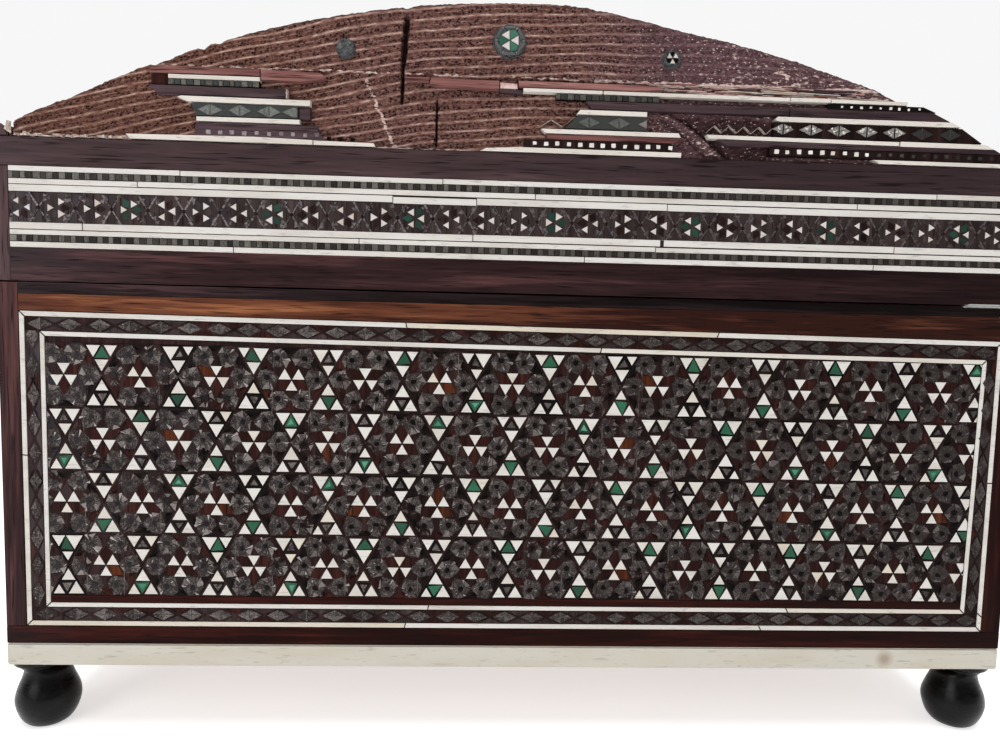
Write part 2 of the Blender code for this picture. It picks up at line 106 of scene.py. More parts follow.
class Shading:
    """The node tree of a material or a world while it is being made."""

    def __init__(
        self, owner: bpy.types.Material | bpy.types.World, surface: str = "BsdfPrincipled"
    ) -> None:
        """Clears the owner's tree and puts its shader and its output in it.

        Args:
            owner: what the tree belongs to.
            surface: the shader's Blender type, less its "ShaderNode".
        """
        owner.use_nodes = True
        self.tree = owner.node_tree
        self.tree.nodes.clear()
        self.shader = self.add(surface).node
        output = "OutputWorld" if isinstance(owner, bpy.types.World) else "OutputMaterial"
        self.add(output, {"Surface": self.shader.outputs[0]})

    def add(
        self,
        kind: str,
        inputs: dict[int | str, Input] | Sequence[Input] = (),
        out: int | str = 0,
        stops: Iterable[tuple[float, str]] = (),
        **settings: object,
    ) -> bpy.types.NodeSocket | None:
        """Adds a node with its settings and links.

        Args:
            kind: the node's Blender type less its "ShaderNode", then its operation if it has one.
            inputs: the constant, the hex colour or the socket for each input, in order or by key.
            out: which of its outputs is wanted.
            stops: a colour ramp's positions and hex colours.
            settings: the node's own properties.

        Returns:
            The wanted output, or None for a node that has none.
        """
        kind, _, operation = kind.partition(" ")
        node = self.tree.nodes.new("ShaderNode" + kind)
        if operation:
            node.operation = operation
        for name, value in settings.items():
            setattr(node, name, value)
        for number, (position, colour) in enumerate(stops):
            marks = node.color_ramp.elements
            while number == 0 and len(marks) > 1:
                marks.remove(marks[0])
            mark = marks[0] if number == 0 else marks.new(position)
            mark.position = position
            mark.color = linear(colour)
        for key, value in inputs.items() if isinstance(inputs, dict) else enumerate(inputs):
            self.feed(node.inputs[key], value)
        return node.outputs[out] if node.outputs else None

    def feed(self, socket: bpy.types.NodeSocket, value: Input) -> None:
        """Links a socket to its source, or sets its constant or hex colour.

        Args:
            socket: the input to fill.
            value: a socket, a constant or a hex colour.
        """
        if isinstance(value, bpy.types.NodeSocket):
            self.tree.links.new(value, socket)
        else:
            socket.default_value = linear(value) if isinstance(value, str) else value

    def set(self, **inputs: Input) -> None:
        """Feeds the shader's inputs, named with underscores for spaces."""
        for key, value in inputs.items():
            self.feed(self.shader.inputs[key.replace("_", " ")], value)

    def point(self, stretch: Sequence[float] = (1, 1, 1)) -> bpy.types.NodeSocket:
        """Gives the place on the piece in millimetres, moved on for each tile.

        Args:
            stretch: how far the pattern is drawn out along X, Y and Z.

        Returns:
            The socket with the place.
        """
        place = self.add("TexCoord", out="Object")
        tone = self.add("Attribute", out="Vector", attribute_name="tone")
        size = [1000 * s for s in stretch]
        shift = [v * s for v, s in zip((173.0, 91.0, 57.0), stretch)]
        moved = self.add("VectorMath MULTIPLY", (tone, shift))
        return self.add("VectorMath MULTIPLY_ADD", (place, size, moved))


# The output and the setting of a node that lays one colour (input 7) over another (input 6).
COLOUR = {"out": 2, "data_type": "RGBA"}
# The setting of a range with soft ends.
EASED = {"interpolation_type": "SMOOTHSTEP"}


class Grain(Enum):
    """Which way a wood's fibres run, as the stretch of its pattern along X, Y and Z."""

    LENGTH = (0.045, 1.0, 1.0)
    DEPTH = (1.0, 0.045, 1.0)
    HEIGHT = (1.0, 1.0, 0.045)


@dataclass(frozen=True)
class Finish:
    """A material that is made once and shared by every piece that has it."""

    name: str
    slot: str = "rosewood_marquetry"

    def material(self) -> bpy.types.Material:
        """Makes the Blender material on the first call.

        Returns:
            The material, which is the same one for every piece.
        """
        made = bpy.data.materials.get(self.name)
        if made is None:
            made = bpy.data.materials.new(self.name)
            self.shade(Shading(made))
        return made

    def shade(self, nodes: Shading) -> None:
        """Fills the tree. Each kind of finish does this its own way."""
        raise NotImplementedError


@dataclass(frozen=True)
class Wood(Finish):
    """Sliced or sawn wood, scraped and oiled: broad figure, fine fibres and open pores."""

    grain: Grain = Grain.DEPTH
    dark: str = "#1f1211"
    middle: str = "#301c1a"
    light: str = "#4a2a22"
    pore: str = "#120a09"
    figure: float = 4.6
    rough: float = 0.44
    gloss: float = 0.05
    darker: float = 0.06  # painted shade: how far the ramp is darkened from the box's middle to its back

    def shade(self, nodes: Shading) -> None:
        """Figure and fibres colour the wood, with painted shade towards the back and a painted glare towards
        the front; fibres and pores roughen it.

        Args:
            nodes: the material's tree.
        """
        fine = {"Vector": nodes.point(self.grain.value), "Detail": 3.0}
        broad = nodes.add("TexNoise", fine | {"Scale": 1 / self.figure, "Distortion": 0.4})
        # Rosewood's fibres are finer; 0.55 mm is the finest that a view of the whole end shows.
        fibre = nodes.add("TexNoise", fine | {"Scale": 1 / 0.55})
        pores = nodes.add("TexNoise", fine | {"Scale": 1 / 0.34, "Detail": 1.0})
        streak = nodes.add("TexNoise", fine | {"Scale": 1 / 1.5, "Distortion": 0.2})
        tone = nodes.add("Attribute", out="Fac", attribute_name="tone")
        value = nodes.add("Math MULTIPLY_ADD", (tone, 0.14, -0.07))
        for texture, share in ((fibre, 0.4), (streak, 0.5), (broad, 0.55)):
            value = nodes.add("Math MULTIPLY_ADD", (texture, share, value))
        depth = nodes.add("SeparateXYZ", (nodes.point(),), "Y")
        # Painted shade: the ramp is pulled darker from the box's middle to its back, for the light falling
        # off there.
        aged_and_shaded = nodes.add("MapRange", (depth, -10.0, 95.0, 0.0, self.darker))
        value = nodes.add("Math SUBTRACT", (value, aged_and_shaded))
        stops = ((0.5, self.dark), (0.72, self.middle), (0.93, self.light))
        colour = nodes.add("ValToRGB", (value,), stops=stops)
        # Painted glare: towards the front corner a faint grey veil is laid over every wood, for the sheen of
        # the light there.
        painted_glare = nodes.add("MapRange", (depth, -40.0, -100.0, 0.0, 0.12))
        open_pore = nodes.add("MapRange", (pores, 0.58, 0.7, 0.0, 0.8))
        for share, over in ((painted_glare, "#88838e"), (open_pore, self.pore)):
            colour = nodes.add("Mix", {0: share, 6: colour, 7: over}, **COLOUR)
        rubbed = nodes.add("TexNoise", {"Vector": nodes.point(), "Scale": 1 / 17, "Detail": 2.0})
        rough = nodes.add("MapRange", (rubbed, 0.3, 0.7, self.rough - 0.07, self.rough + 0.09))
        height = nodes.add("Math MULTIPLY_ADD", (open_pore, -0.8, fibre))
        relief = nodes.add("Bump", {"Height": height, "Strength": 0.5, "Distance": 0.045 * MM})
        nodes.set(Base_Color=colour, Roughness=rough, Specular_IOR_Level=self.gloss, Normal=relief)


@dataclass(frozen=True)
class Bone(Finish):
    """Sawn and scraped bone, plain or stained: nearly even, with faint veins and short dark canals."""

    clean: str = "#e6e1d9"
    aged_and_shaded: str = "#cdbb95"
    vein: str = "#a59a8c"
    grain: Grain = Grain.DEPTH
    canals: float = 0.3
    oldest: float = 0.8
    stain_at: tuple[float, float, float] | None = None

    def shade(self, nodes: Shading) -> None:
        """Colour by tile and by veins, with dirt in the canals and rust where something stood.

        Args:
            nodes: the material's tree.
        """
        along = nodes.point([0.14 if s < 1 else 1.0 for s in self.grain.value])
        cloud = nodes.add("TexNoise", {"Vector": along, "Scale": 1 / 3.2, "Detail": 4.0})
        # The canals of real bone are under 0.1 mm; they're drawn 0.4 mm long so that they show.
        pits = nodes.add("TexNoise", {"Vector": along, "Scale": 1 / 0.38, "Detail": 2.0})
        tone = nodes.add("Attribute", out="Fac", attribute_name="tone")
        canal = nodes.add("MapRange", (pits, 0.6, 0.74, 0.0, self.canals))
        layers = [
            (nodes.add("MapRange", (tone, self.oldest, 1.0, 0.0, 0.75)), self.aged_and_shaded),
            (nodes.add("MapRange", (cloud, 0.45, 0.8, 0.0, 0.6)), self.vein),
            (canal, "#3c3128"),
        ]
        if self.stain_at is not None:
            place = nodes.add("TexCoord", out="Object")
            spot = [value * MM for value in self.stain_at]
            away = nodes.add("VectorMath DISTANCE", (place, spot), "Value")
            rust = nodes.add("MapRange", (away, 2.2 * MM, 0.5 * MM, 0.0, 0.6))
            layers.append((rust, "#7d6247"))
        colour = self.clean
        for share, over in layers:
            colour = nodes.add("Mix", {0: share, 6: colour, 7: over}, **COLOUR)
        relief = nodes.add("Bump", {"Height": canal, "Strength": 0.6, "Distance": -0.04 * MM})
        rough = nodes.add("MapRange", (cloud, 0.0, 1.0, 0.3, 0.52))
        nodes.set(Base_Color=colour, Roughness=rough, Specular_IOR_Level=0.2, Normal=relief)


@dataclass(frozen=True)
class Alloy(Finish):
    """Cast and scraped pewter or tin, tarnished: speckled greys that differ from tile to tile."""

    dull: str = "#211d1d"
    bright: str = "#8a8785"
    metal: float = 0.1
    rough: float = 0.5
    spread: float = 0.2

    def shade(self, nodes: Shading) -> None:
        """A speckle over each tile's own grey, with painted shade towards the box's back.

        Args:
            nodes: the material's tree.
        """
        grain = {"Scale": 1 / 0.5, "Detail": 3.0, "Roughness": 0.6, "Distortion": 1.2}
        speckle = nodes.add("TexNoise", grain | {"Vector": nodes.point()})
        tone = nodes.add("Attribute", out="Fac", attribute_name="tone")
        spread = nodes.add("MapRange", (speckle, 0.32, 0.68, -self.spread, self.spread))
        grey = nodes.add("Math ADD", (tone, spread), use_clamp=True)
        clean = nodes.add("ValToRGB", (grey,), stops=((0.0, self.dull), (1.0, self.bright)))
        # Painted shade: towards the box's back the metal is darkened, for the light falling off there.
        depth = nodes.add("SeparateXYZ", (nodes.point(),), "Y")
        painted_back_shade = nodes.add("MapRange", (depth, -40.0, 90.0, 0.0, 0.6))
        colour = nodes.add("Mix", {0: painted_back_shade, 6: clean, 7: "#211917"}, **COLOUR)
        relief = nodes.add("Bump", {"Height": speckle, "Strength": 0.5, "Distance": 0.05 * MM})
        nodes.set(Base_Color=colour, Metallic=self.metal, Roughness=self.rough)
        nodes.set(Specular_IOR_Level=0.15, Normal=relief)


@dataclass(frozen=True)
class Matt(Finish):
    """A dull, faintly mottled mass, such as glue, filler or plaster."""

    low: str = "#1a1110"
    high: str = "#33211d"
    size: float = 1.4
    rough: float = 0.75
    depth: float = 0.08
    glow: float = 0.0

    def shade(self, nodes: Shading) -> None:
        """Mottling drives both the colour and a soft bump.

        Args:
            nodes: the material's tree.
        """
        cloud = nodes.add("TexNoise", {"Vector": nodes.point(), "Scale": 1 / self.size, "Detail": 4.0})
        colour = nodes.add("ValToRGB", (cloud,), stops=((0.35, self.low), (0.65, self.high)))
        relief = nodes.add("Bump", {"Height": cloud, "Strength": 0.5, "Distance": self.depth * MM})
        nodes.set(Base_Color=colour, Roughness=self.rough, Specular_IOR_Level=0.05, Normal=relief)
        nodes.set(Emission_Color=(1.0, 1.0, 1.0, 1.0), Emission_Strength=self.glow)


@dataclass(frozen=True)
class BrokenWood(Finish):
    """The gable's bare board, sawn across, weathered and never finished.

    Attributes:
        marks: where the colours of each ramp lie.
        warm: the board's own browns.
        grey: its colours where it is weathered.
    """

    marks: tuple[float, ...] = (0.16, 0.3, 0.42, 0.58, 0.8)
    warm: tuple[str, ...] = ("#351d19", "#5e3e35", "#79564a", "#9f8072", "#cbb3a6")
    grey: tuple[str, ...] = ("#3a2527", "#553d41", "#6c5255", "#8a7174", "#bda9a9")

    def shade(self, nodes: Shading) -> None:
        """Ridges and pores follow the mesh's line values; its other values, painted shade, dry glue and
        weathering, are laid over.

        Args:
            nodes: the material's tree.
        """
        line, painted_shade, crust, cool = (
            nodes.add("Attribute", out="Fac", attribute_name=name)
            for name in ("line", "painted_shade", "crust", "cool")
        )
        depth = nodes.add("SeparateXYZ", (nodes.point(),), "Y")

        def cells(across: float, lines: float) -> bpy.types.NodeSocket:
            """A place counted in steps along the ridges and in steps from ridge to ridge."""
            steps = [nodes.add("Math MULTIPLY", side) for side in ((depth, across), (line, lines))]
            return nodes.add("CombineXYZ", steps)

        phase = nodes.add("Math FRACT", (line,))
        patchy = nodes.add("TexNoise", {"Vector": cells(0.3, 1.3), "Scale": 1.0, "Detail": 3.0})
        grain = {"Scale": 1 / 0.4, "Detail": 4.0, "Roughness": 0.7}
        grit = nodes.add("TexNoise", grain | {"Vector": nodes.point((1, 0.6, 1))})
        fibre = nodes.add("TexNoise", {"Vector": cells(0.75, 7.0), "Scale": 1.0, "Detail": 3.0})
        spots = nodes.add("TexVoronoi", {"Vector": cells(1.7, 4.0), "Scale": 1.0, "Randomness": 0.75})
        ridges = []
        for middle, reach, patch in (
            (0.78, (0.13, 0.02), (0.36, 0.64, 0.02, 0.4)),
            (0.32, (0.07, 0.01), (0.66, 0.4, 0.0, 0.26)),
        ):
            away = nodes.add("Math ABSOLUTE", (nodes.add("Math SUBTRACT", (phase, middle)),))
            crest = nodes.add("MapRange", (away, *reach), **EASED)
            shown = nodes.add("MapRange", (patchy, *patch), **EASED)
            ridges.append(nodes.add("Math MULTIPLY", (crest, shown)))
        fade = nodes.add("MapRange", (cool, 0.35, 0.95, 1.0, 0.4), **EASED)
        lines = nodes.add("Math MULTIPLY", (nodes.add("Math ADD", ridges), fade))
        swing = nodes.add("Math PINGPONG", (nodes.add("Math SUBTRACT", (phase, 0.28)), 0.5))
        band = nodes.add("MapRange", (swing, 0.28, 0.4, 0.05, 0.22), **EASED)
        value = nodes.add("Math MULTIPLY_ADD", (grit, 0.85, lines))
        value = nodes.add("Math SUBTRACT", (value, 0.31))
        value = nodes.add("Math MULTIPLY_ADD", (fibre, 0.7, value))
        value = nodes.add("Math ADD", (value, nodes.add("Math MULTIPLY", (band, fade))))
        value = nodes.add("Math MULTIPLY", (value, 0.6))
        warm, grey = (
            nodes.add("ValToRGB", (value,), stops=zip(self.marks, colours))
            for colours in (self.warm, self.grey)
        )
        inside = nodes.add("MapRange", (spots, 0.55, 0.28), **EASED)
        for share in ((band, 0.2, 0.1), (patchy, 0.3, 0.5, 0.35, 1.0), (cool, 0.5, 1.0, 1.0, 0.55)):
            inside = nodes.add("Math MULTIPLY", (inside, nodes.add("MapRange", share, **EASED)))
        # Pores and the mesh's painted shade take the same near-black.
        pore = nodes.add("Math MAXIMUM", (nodes.add("Math MULTIPLY", (inside, 0.95)), painted_shade))
        salt = nodes.add("TexVoronoi", {"Vector": nodes.point((1, 0.7, 1)), "Scale": 1 / 0.55})
        grains = nodes.add("MapRange", (salt, 0.28, 0.12), **EASED)
        for share in (cool, nodes.add("MapRange", (patchy, 0.4, 0.58, 0.15, 0.85), **EASED)):
            grains = nodes.add("Math MULTIPLY", (grains, share))
        flat = {"Vector": nodes.point((1, 0.35, 1.3)), "Scale": 1 / 0.5, "Detail": 3.0}
        flakes = nodes.add("Math MULTIPLY_ADD", (crust, 0.5, nodes.add("TexNoise", flat)))
        dry = nodes.add("MapRange", (flakes, 0.72, 0.86), **EASED)
        pale = nodes.add("ValToRGB", (grit,), stops=((0.35, "#a3827b"), (0.65, "#d3c1b8")))
        colour = warm
        for share, over in ((cool, grey), (pore, "#1d0c0b"), (grains, "#c9b4b0"), (dry, pale)):
            colour = nodes.add("Mix", {0: share, 6: colour, 7: over}, **COLOUR)
        level = nodes.add("Math SUBTRACT", (grit, pore))
        height = nodes.add("Math MULTIPLY_ADD", (ridges[0], 0.8, level))
        relief = nodes.add("Bump", {"Height": height, "Strength": 0.8, "Distance": 0.2 * MM})
        nodes.set(Base_Color=colour, Roughness=0.8, Specular_IOR_Level=0.08, Normal=relief)


@dataclass(frozen=True)
class Turned(Finish):
    """Turned wood under worn black shellac: dark, with fine turning rings and dull rubbed places."""

    def shade(self, nodes: Shading) -> None:
        """Rings across the turning and broad rubbed patches.

        Args:
            nodes: the material's tree.
        """
        fine = {"Vector": nodes.point((0.08, 0.08, 1.0)), "Scale": 1 / 0.5, "Detail": 3.0}
        broad = {"Vector": nodes.point((1.0, 1.0, 2.2)), "Scale": 1 / 3.5, "Detail": 4.0}
        rings = nodes.add("TexNoise", fine)
        worn = nodes.add("TexNoise", broad | {"Roughness": 0.6})
        blacks = ((0.35, "#020202"), (0.6, "#050505"), (0.78, "#121312"))
        colour = nodes.add("ValToRGB", (worn,), stops=blacks)
        rough = nodes.add("MapRange", (worn, 0.3, 0.75, 0.2, 0.42))
        height = nodes.add("Math ADD", (rings, worn))
        relief = nodes.add("Bump", {"Height": height, "Strength": 0.35, "Distance": 0.1 * MM})
        nodes.set(Base_Color=colour, Roughness=rough, Specular_IOR_Level=0.16, Normal=relief)


@dataclass(frozen=True)
class Drawn(Finish):
    """Drawn and filed steel: brushed along its length, with a few brown freckles."""

    def shade(self, nodes: Shading) -> None:
        """Brush lines along the hinge and freckles of rust.

        Args:
            nodes: the material's tree.
        """
        brushed = {"Vector": nodes.point((0.04, 1.0, 1.0)), "Scale": 1 / 0.3, "Detail": 2.0}
        lines = nodes.add("TexNoise", brushed)
        spots = nodes.add("TexNoise", {"Vector": nodes.point(), "Scale": 1 / 2.4, "Detail": 3.0})
        steel = nodes.add("ValToRGB", (lines,), stops=((0.3, "#b3b0ab"), (0.7, "#dedbd5")))
        rust = nodes.add("MapRange", (spots, 0.6, 0.72, 0.0, 0.6))
        colour = nodes.add("Mix", {0: rust, 6: steel, 7: "#6b4c33"}, **COLOUR)
        metal = nodes.add("MapRange", (rust, 0.0, 1.0, 0.5, 0.1))
        relief = nodes.add("Bump", {"Height": lines, "Strength": 0.3, "Distance": 0.02 * MM})
        nodes.set(Base_Color=colour, Metallic=metal, Roughness=0.34, Normal=relief)


def wood(name: str, grain: Grain, dark: str, middle: str, light: str, **more: float | str) -> Wood:
    """A wood finish with its three colours, from its dark streaks to its light ones."""
    return Wood(name=name, grain=grain, dark=dark, middle=middle, light=light, **more)


def rails(name: str, *colours: str, **more: float) -> dict[Grain, Wood]:
    """The same wood for rails that run each way."""
    return {grain: wood(f"{name}_along_{grain.name.lower()}", grain, *colours, **more) for grain in Grain}


# Scraped rosewood, oiled by hand: near-black with red-brown streaks along the grain.
RAIL = rails("rosewood_veneer", "#0c0201", "#1f0704", "#3c1610")
# The lid's rosewood, bleached a little by daylight: the same wood, but purple and greyer.
PURPLE_RAIL = rails("faded_rosewood", "#1a0e0f", "#301e1f", "#583938", darker=0.14)
# The same wood on the lid's upper rail: faded to a dull grey-purple, and greyed further with painted sheen
# for the light from above.
GREY_SHEEN_RAIL = rails("greyed_rosewood_painted_sheen", "#302426", "#3f3032", "#564244", darker=0.2)
# Rosewood sapwood, lighter: the streaky orange-brown rail that the eye takes first on the base.
RED_RAIL = rails("rosewood_sapwood", "#2b140f", "#643927", "#9c6542", figure=3.2, darker=0.24)
# The base's top edge, dark with handling and the joint's dirt.
EDGE_RAIL = wood(
    "rosewood_edge_dark_with_handling", Grain.DEPTH, "#0c0606", "#261b1d", "#4f3739", darker=0.24
)
# The band's plates: rosewood cut across and dusty, a soft brown between the small tiles.
BAND_PLATE = wood(
    "dusty_rosewood_end_grain", Grain.HEIGHT, "#241b1a", "#332a29", "#483c3b", figure=2.6, rough=0.6
)
# The mosaic's plates: dark rosewood cut across, which stays dull and brown behind the tiles.
PLATE = wood(
    "rosewood_plate_end_grain", Grain.HEIGHT, "#110908", "#231615", "#3a2725", figure=2.2, rough=0.55
)
# Stained ebony splinters: flat near-black.
EBONY = wood("ebonised_pearwood_tile", Grain.DEPTH, "#060404", "#0e0909", "#1c1312", rough=0.5)
# Padauk splinters: the red-brown lozenges round each flower.
RED_TILE = wood("padauk_tile", Grain.HEIGHT, "#140807", "#29120f", "#41201b", figure=1.6, rough=0.5)
ORANGE_TILE = wood("padauk_sapwood_tile", Grain.HEIGHT, "#27100a", "#45200f", "#63341d", figure=1.6)
# Scraped white bone, polished by hands, which reads as the box's white lines.
BONE = Bone(name="scraped_bone", clean="#cdc9c4", aged_and_shaded="#c8bca9")
# The wide foot strip of bone: veined, yellower and grimier than the inlay.
STRIP = {"slot": "bone", "clean": "#beb9ae", "aged_and_shaded": "#b1a892", "vein": "#b0a58f", "canals": 0.3}
BONE_STRIP = Bone(name="sawn_bone_strip", **STRIP)
STAINED_STRIP = Bone(name="sawn_bone_strip_with_rust_stain", stain_at=(145.0, 76.0, 17.6), **STRIP)
# Bone boiled with copper salts: a deep bottle green, paler where it took less.
GREEN = Bone(
    name="copper_stained_bone", clean="#0f3324", aged_and_shaded="#296c4e", vein="#0d3524", canals=0.4, oldest=0.0
)
PALE_GREEN = Bone(
    name="copper_stained_bone_pale", clean="#356f55", aged_and_shaded="#6ba58a", vein="#2c6b4f", canals=0.2, oldest=0.0
)
# The same salts under dust: the large stud's flower, a greyed green.
DUSTY_GREEN = Bone(
    name="copper_stained_bone_dusty", clean="#2b5545", aged_and_shaded="#4d7d69", vein="#23463a", canals=0.4, oldest=0.3
)
# The same salts on a duller piece: the band's flowers, nearly black-green.
DARK_GREEN = Bone(
    name="copper_stained_bone_dark", clean="#12251e", aged_and_shaded="#255142", vein="#0d2219", canals=0.4, oldest=0.0
)
# Tarnished pewter splinters: grey with a grain of light, the mosaic's middle tone.
PEWTER = Alloy(name="tarnished_pewter_tile", dull="#241d1c", bright="#938a86", spread=0.3)
# Drawn tin wire, rubbed bright: the thin light lines in the mosaic.
TIN = Alloy(name="rubbed_tin_wire", dull="#494242", bright="#c4bcba", metal=0.15, rough=0.4)
# Tin gone grey and crumbly: the crossed arms of the lid's band.
DULL_TIN = Alloy(name="crumbled_tin_arm", dull="#3a3233", bright="#8f8686", metal=0.1, spread=0.3)
# The band's white triangles: bone with the dust left in its pores.
DUSTY_BONE = Bone(name="dusty_bone_tile", clean="#c6bfbc", aged_and_shaded="#b8a89c", oldest=0.6)
# The hinge leaves' ends, with a painted glint: near-white steel for the two thin white lines that the light
# makes on them.
LEAF_END_GLINT = Alloy(name="steel_leaf_end_painted_glint", dull="#d2d0cc", bright="#f6f5f2", metal=0.1, rough=0.35)
# The glue, pitch and dust that fill every joint: dark lines between tiles.
MASTIC = Matt(name="dark_glue_ground", low="#150c0b", high="#2a1c19")
# Old hide glue and plaster that the lost veneer left: a pale dry crust.
CRUST = Matt(name="dried_hide_glue", low="#8b7a6f", high="#cfc4ba", size=0.6, rough=0.85)
# The carcass inside: plain planed softwood, oxidised to a warm brown.
CEDAR = {
    "dark": "#5a3a28",
    "middle": "#76503a",
    "light": "#8e6a50",
    "figure": 7.0,
    "rough": 0.68,
    "gloss": 0.2,
    "pore": "#3a2418",
    "slot": "bare_board",
}
CARCASS = wood("planed_cedar_board", Grain.DEPTH, **CEDAR)
CARCASS_LONG = wood("planed_cedar_board_along_length", Grain.LENGTH, **CEDAR)
# The gable's board, sawn coarsely and never finished: torn ridges that the light rakes over.
BROKEN = BrokenWood(name="bare_sawn_gable_board", slot="bare_board")
# Turned wood under black shellac: a deep black with one soft highlight.
SHELLAC = Turned(name="turned_wood_black_shellac", slot="ebonised_wood")
# Drawn and filed steel: a cool grey, brushed along the hinge.
STEEL = Drawn(name="filed_steel_strip", slot="steel")
# The studio's floor of smooth plaster: an even near-white that takes a soft shadow.
FLOOR = Matt(
    name="pale_plaster_floor", low="#f4f4f3", high="#f8f8f8", size=60, rough=0.9, depth=0.2, glow=0.6
)


# ---------------------------------------------------------------- outlines


def inset(outline: Outline, distance: float) -> Outline:
    """Moves every edge of an outline inwards, or draws it in about its middle where that fails.

    Args:
        outline: a convex outline, anticlockwise.
        distance: how far each edge moves.

    Returns:
        The smaller outline.
    """
    count = len(outline)
    moved = []
    for index, (x, y) in enumerate(outline):
        x0, y0 = outline[index - 1]
        x1, y1 = outline[(index + 1) % count]
        before = Vector((x - x0, y - y0)).normalized()
        after = Vector((x1 - x, y1 - y)).normalized()
        normal = Vector((-before.y - after.y, before.x + after.x))
        turn = 1 + before.dot(after)
        if turn < 0.12:
            return shrunk(outline, distance)
        moved.append((x + normal.x * distance / turn, y + normal.y * distance / turn))
    return moved if area(moved) > 0 and area(moved) < area(outline) else shrunk(outline, distance)


def shrunk(outline: Outline, distance: float) -> Outline:
    """Draws a small outline in towards its middle.

    Args:
        outline: the outline.
        distance: about how far it is drawn in.

    Returns:
        The smaller outline.
    """
    x, y = centre(outline)
    reach = max(math.hypot(px - x, py - y) for px, py in outline)
    share = max(0.3, 1 - 1.6 * distance / reach)
    return [(x + (px - x) * share, y + (py - y) * share) for px, py in outline]


def area(outline: Outline) -> float:
    """The outline's area, positive if it runs anticlockwise."""
    pairs = zip(outline, outline[1:] + outline[:1])
    return sum(ax * by - bx * ay for (ax, ay), (bx, by) in pairs) / 2


def centre(outline: Outline) -> Point:
    """The mean of the corners."""
    return sum(x for x, _ in outline) / len(outline), sum(y for _, y in outline) / len(outline)


def cut(outline: Outline, start: Point, end: Point) -> Outline:
    """Keeps what lies to the left of the line from start to end.

    Args:
        outline: a convex outline.
        start: the line's first point.
        end: the line's second point.

    Returns:
        The part that is left, or an empty list.
    """
    dx, dy = end[0] - start[0], end[1] - start[1]
    sides = [dx * (y - start[1]) - dy * (x - start[0]) for x, y in outline]
    kept = []
    for index, (here, side) in enumerate(zip(outline, sides)):
        other, other_side = outline[index - 1], sides[index - 1]
        if (side >= 0) != (other_side >= 0):
            share = other_side / (other_side - side)
            kept.append(tuple(o + (h - o) * share for o, h in zip(other, here)))
        if side >= 0:
            kept.append(here)
    tidy = [p for i, p in enumerate(kept) if math.dist(p, kept[i - 1]) > 0.02]
    return tidy if len(tidy) > 2 else []


def within(outline: Outline, *edges: tuple[Point, Point]) -> Outline:
    """The part of a convex outline that lies to the left of every edge."""
    for start, end in edges:
        outline = cut(outline, start, end) if outline else outline
    return outline


def quad(left: float, right: float, low: float, high: float) -> Outline:
    """An upright rectangle."""
    return [(left, low), (right, low), (right, high), (left, high)]


def around(middle: Point, radius: float, degrees: float) -> Point:
    """The point at that distance and angle from the middle."""
    turn = math.radians(degrees)
    return middle[0] + radius * math.cos(turn), middle[1] + radius * math.sin(turn)


def rays(middle: Point, *spots: Point) -> Outline:
    """An outline given by each corner's distance from the middle and its angle."""
    return [around(middle, radius, degrees) for radius, degrees in spots]


def regular(middle: Point, radius: float, sides: int, turn: float = 0.0) -> Outline:
    """A regular polygon with its first corner at that angle."""
    return [around(middle, radius, turn + 360 * side / sides) for side in range(sides)]


def between(a: Point, b: Point, share: float) -> Point:
    """The point that share of the way from a to b."""
    return a[0] + (b[0] - a[0]) * share, a[1] + (b[1] - a[1]) * share


# ---------------------------------------------------------------- faces and sheets of tiles


@dataclass(frozen=True)
class Face:
    """A flat side of the box. Across runs to the viewer's right, up runs upwards from the underside."""

    plane: float
    across: Vector
    outward: Vector
    grain: Grain

    @property
    def curved(self) -> bool:
        """Whether an outline must be sliced to follow the face."""
        return False

    def place(self, across: float, up: float, out: float) -> tuple[float, float, float]:
        """The point in metres at that place, that far out from the face."""
        spot = self.across * across + self.outward * (self.plane + out)
        return spot.x * MM, spot.y * MM, (up + UNDERSIDE) * MM


@dataclass(frozen=True)
class DomeFace:
    """The arched top, unrolled: across runs along X and up runs over the arch from the crown backwards."""

    grain: Grain = Grain.LENGTH

    @property
    def curved(self) -> bool:
        """Whether an outline must be sliced to follow the face."""
        return True

    def place(self, across: float, up: float, out: float) -> tuple[float, float, float]:
        """Gives the point in metres at that place.

        Args:
            across: the place along the box.
            up: the place over the arch.
            out: the height above it.

        Returns:
            X, Y and Z.
        """
        turn = up / ARCH_RADIUS
        radius = ARCH_RADIUS + out
        height = ARCH_CENTRE + radius * math.cos(turn) + UNDERSIDE
        return across * MM, radius * math.sin(turn) * MM, height * MM


AXIS_X, AXIS_Y = Vector((1, 0, 0)), Vector((0, 1, 0))


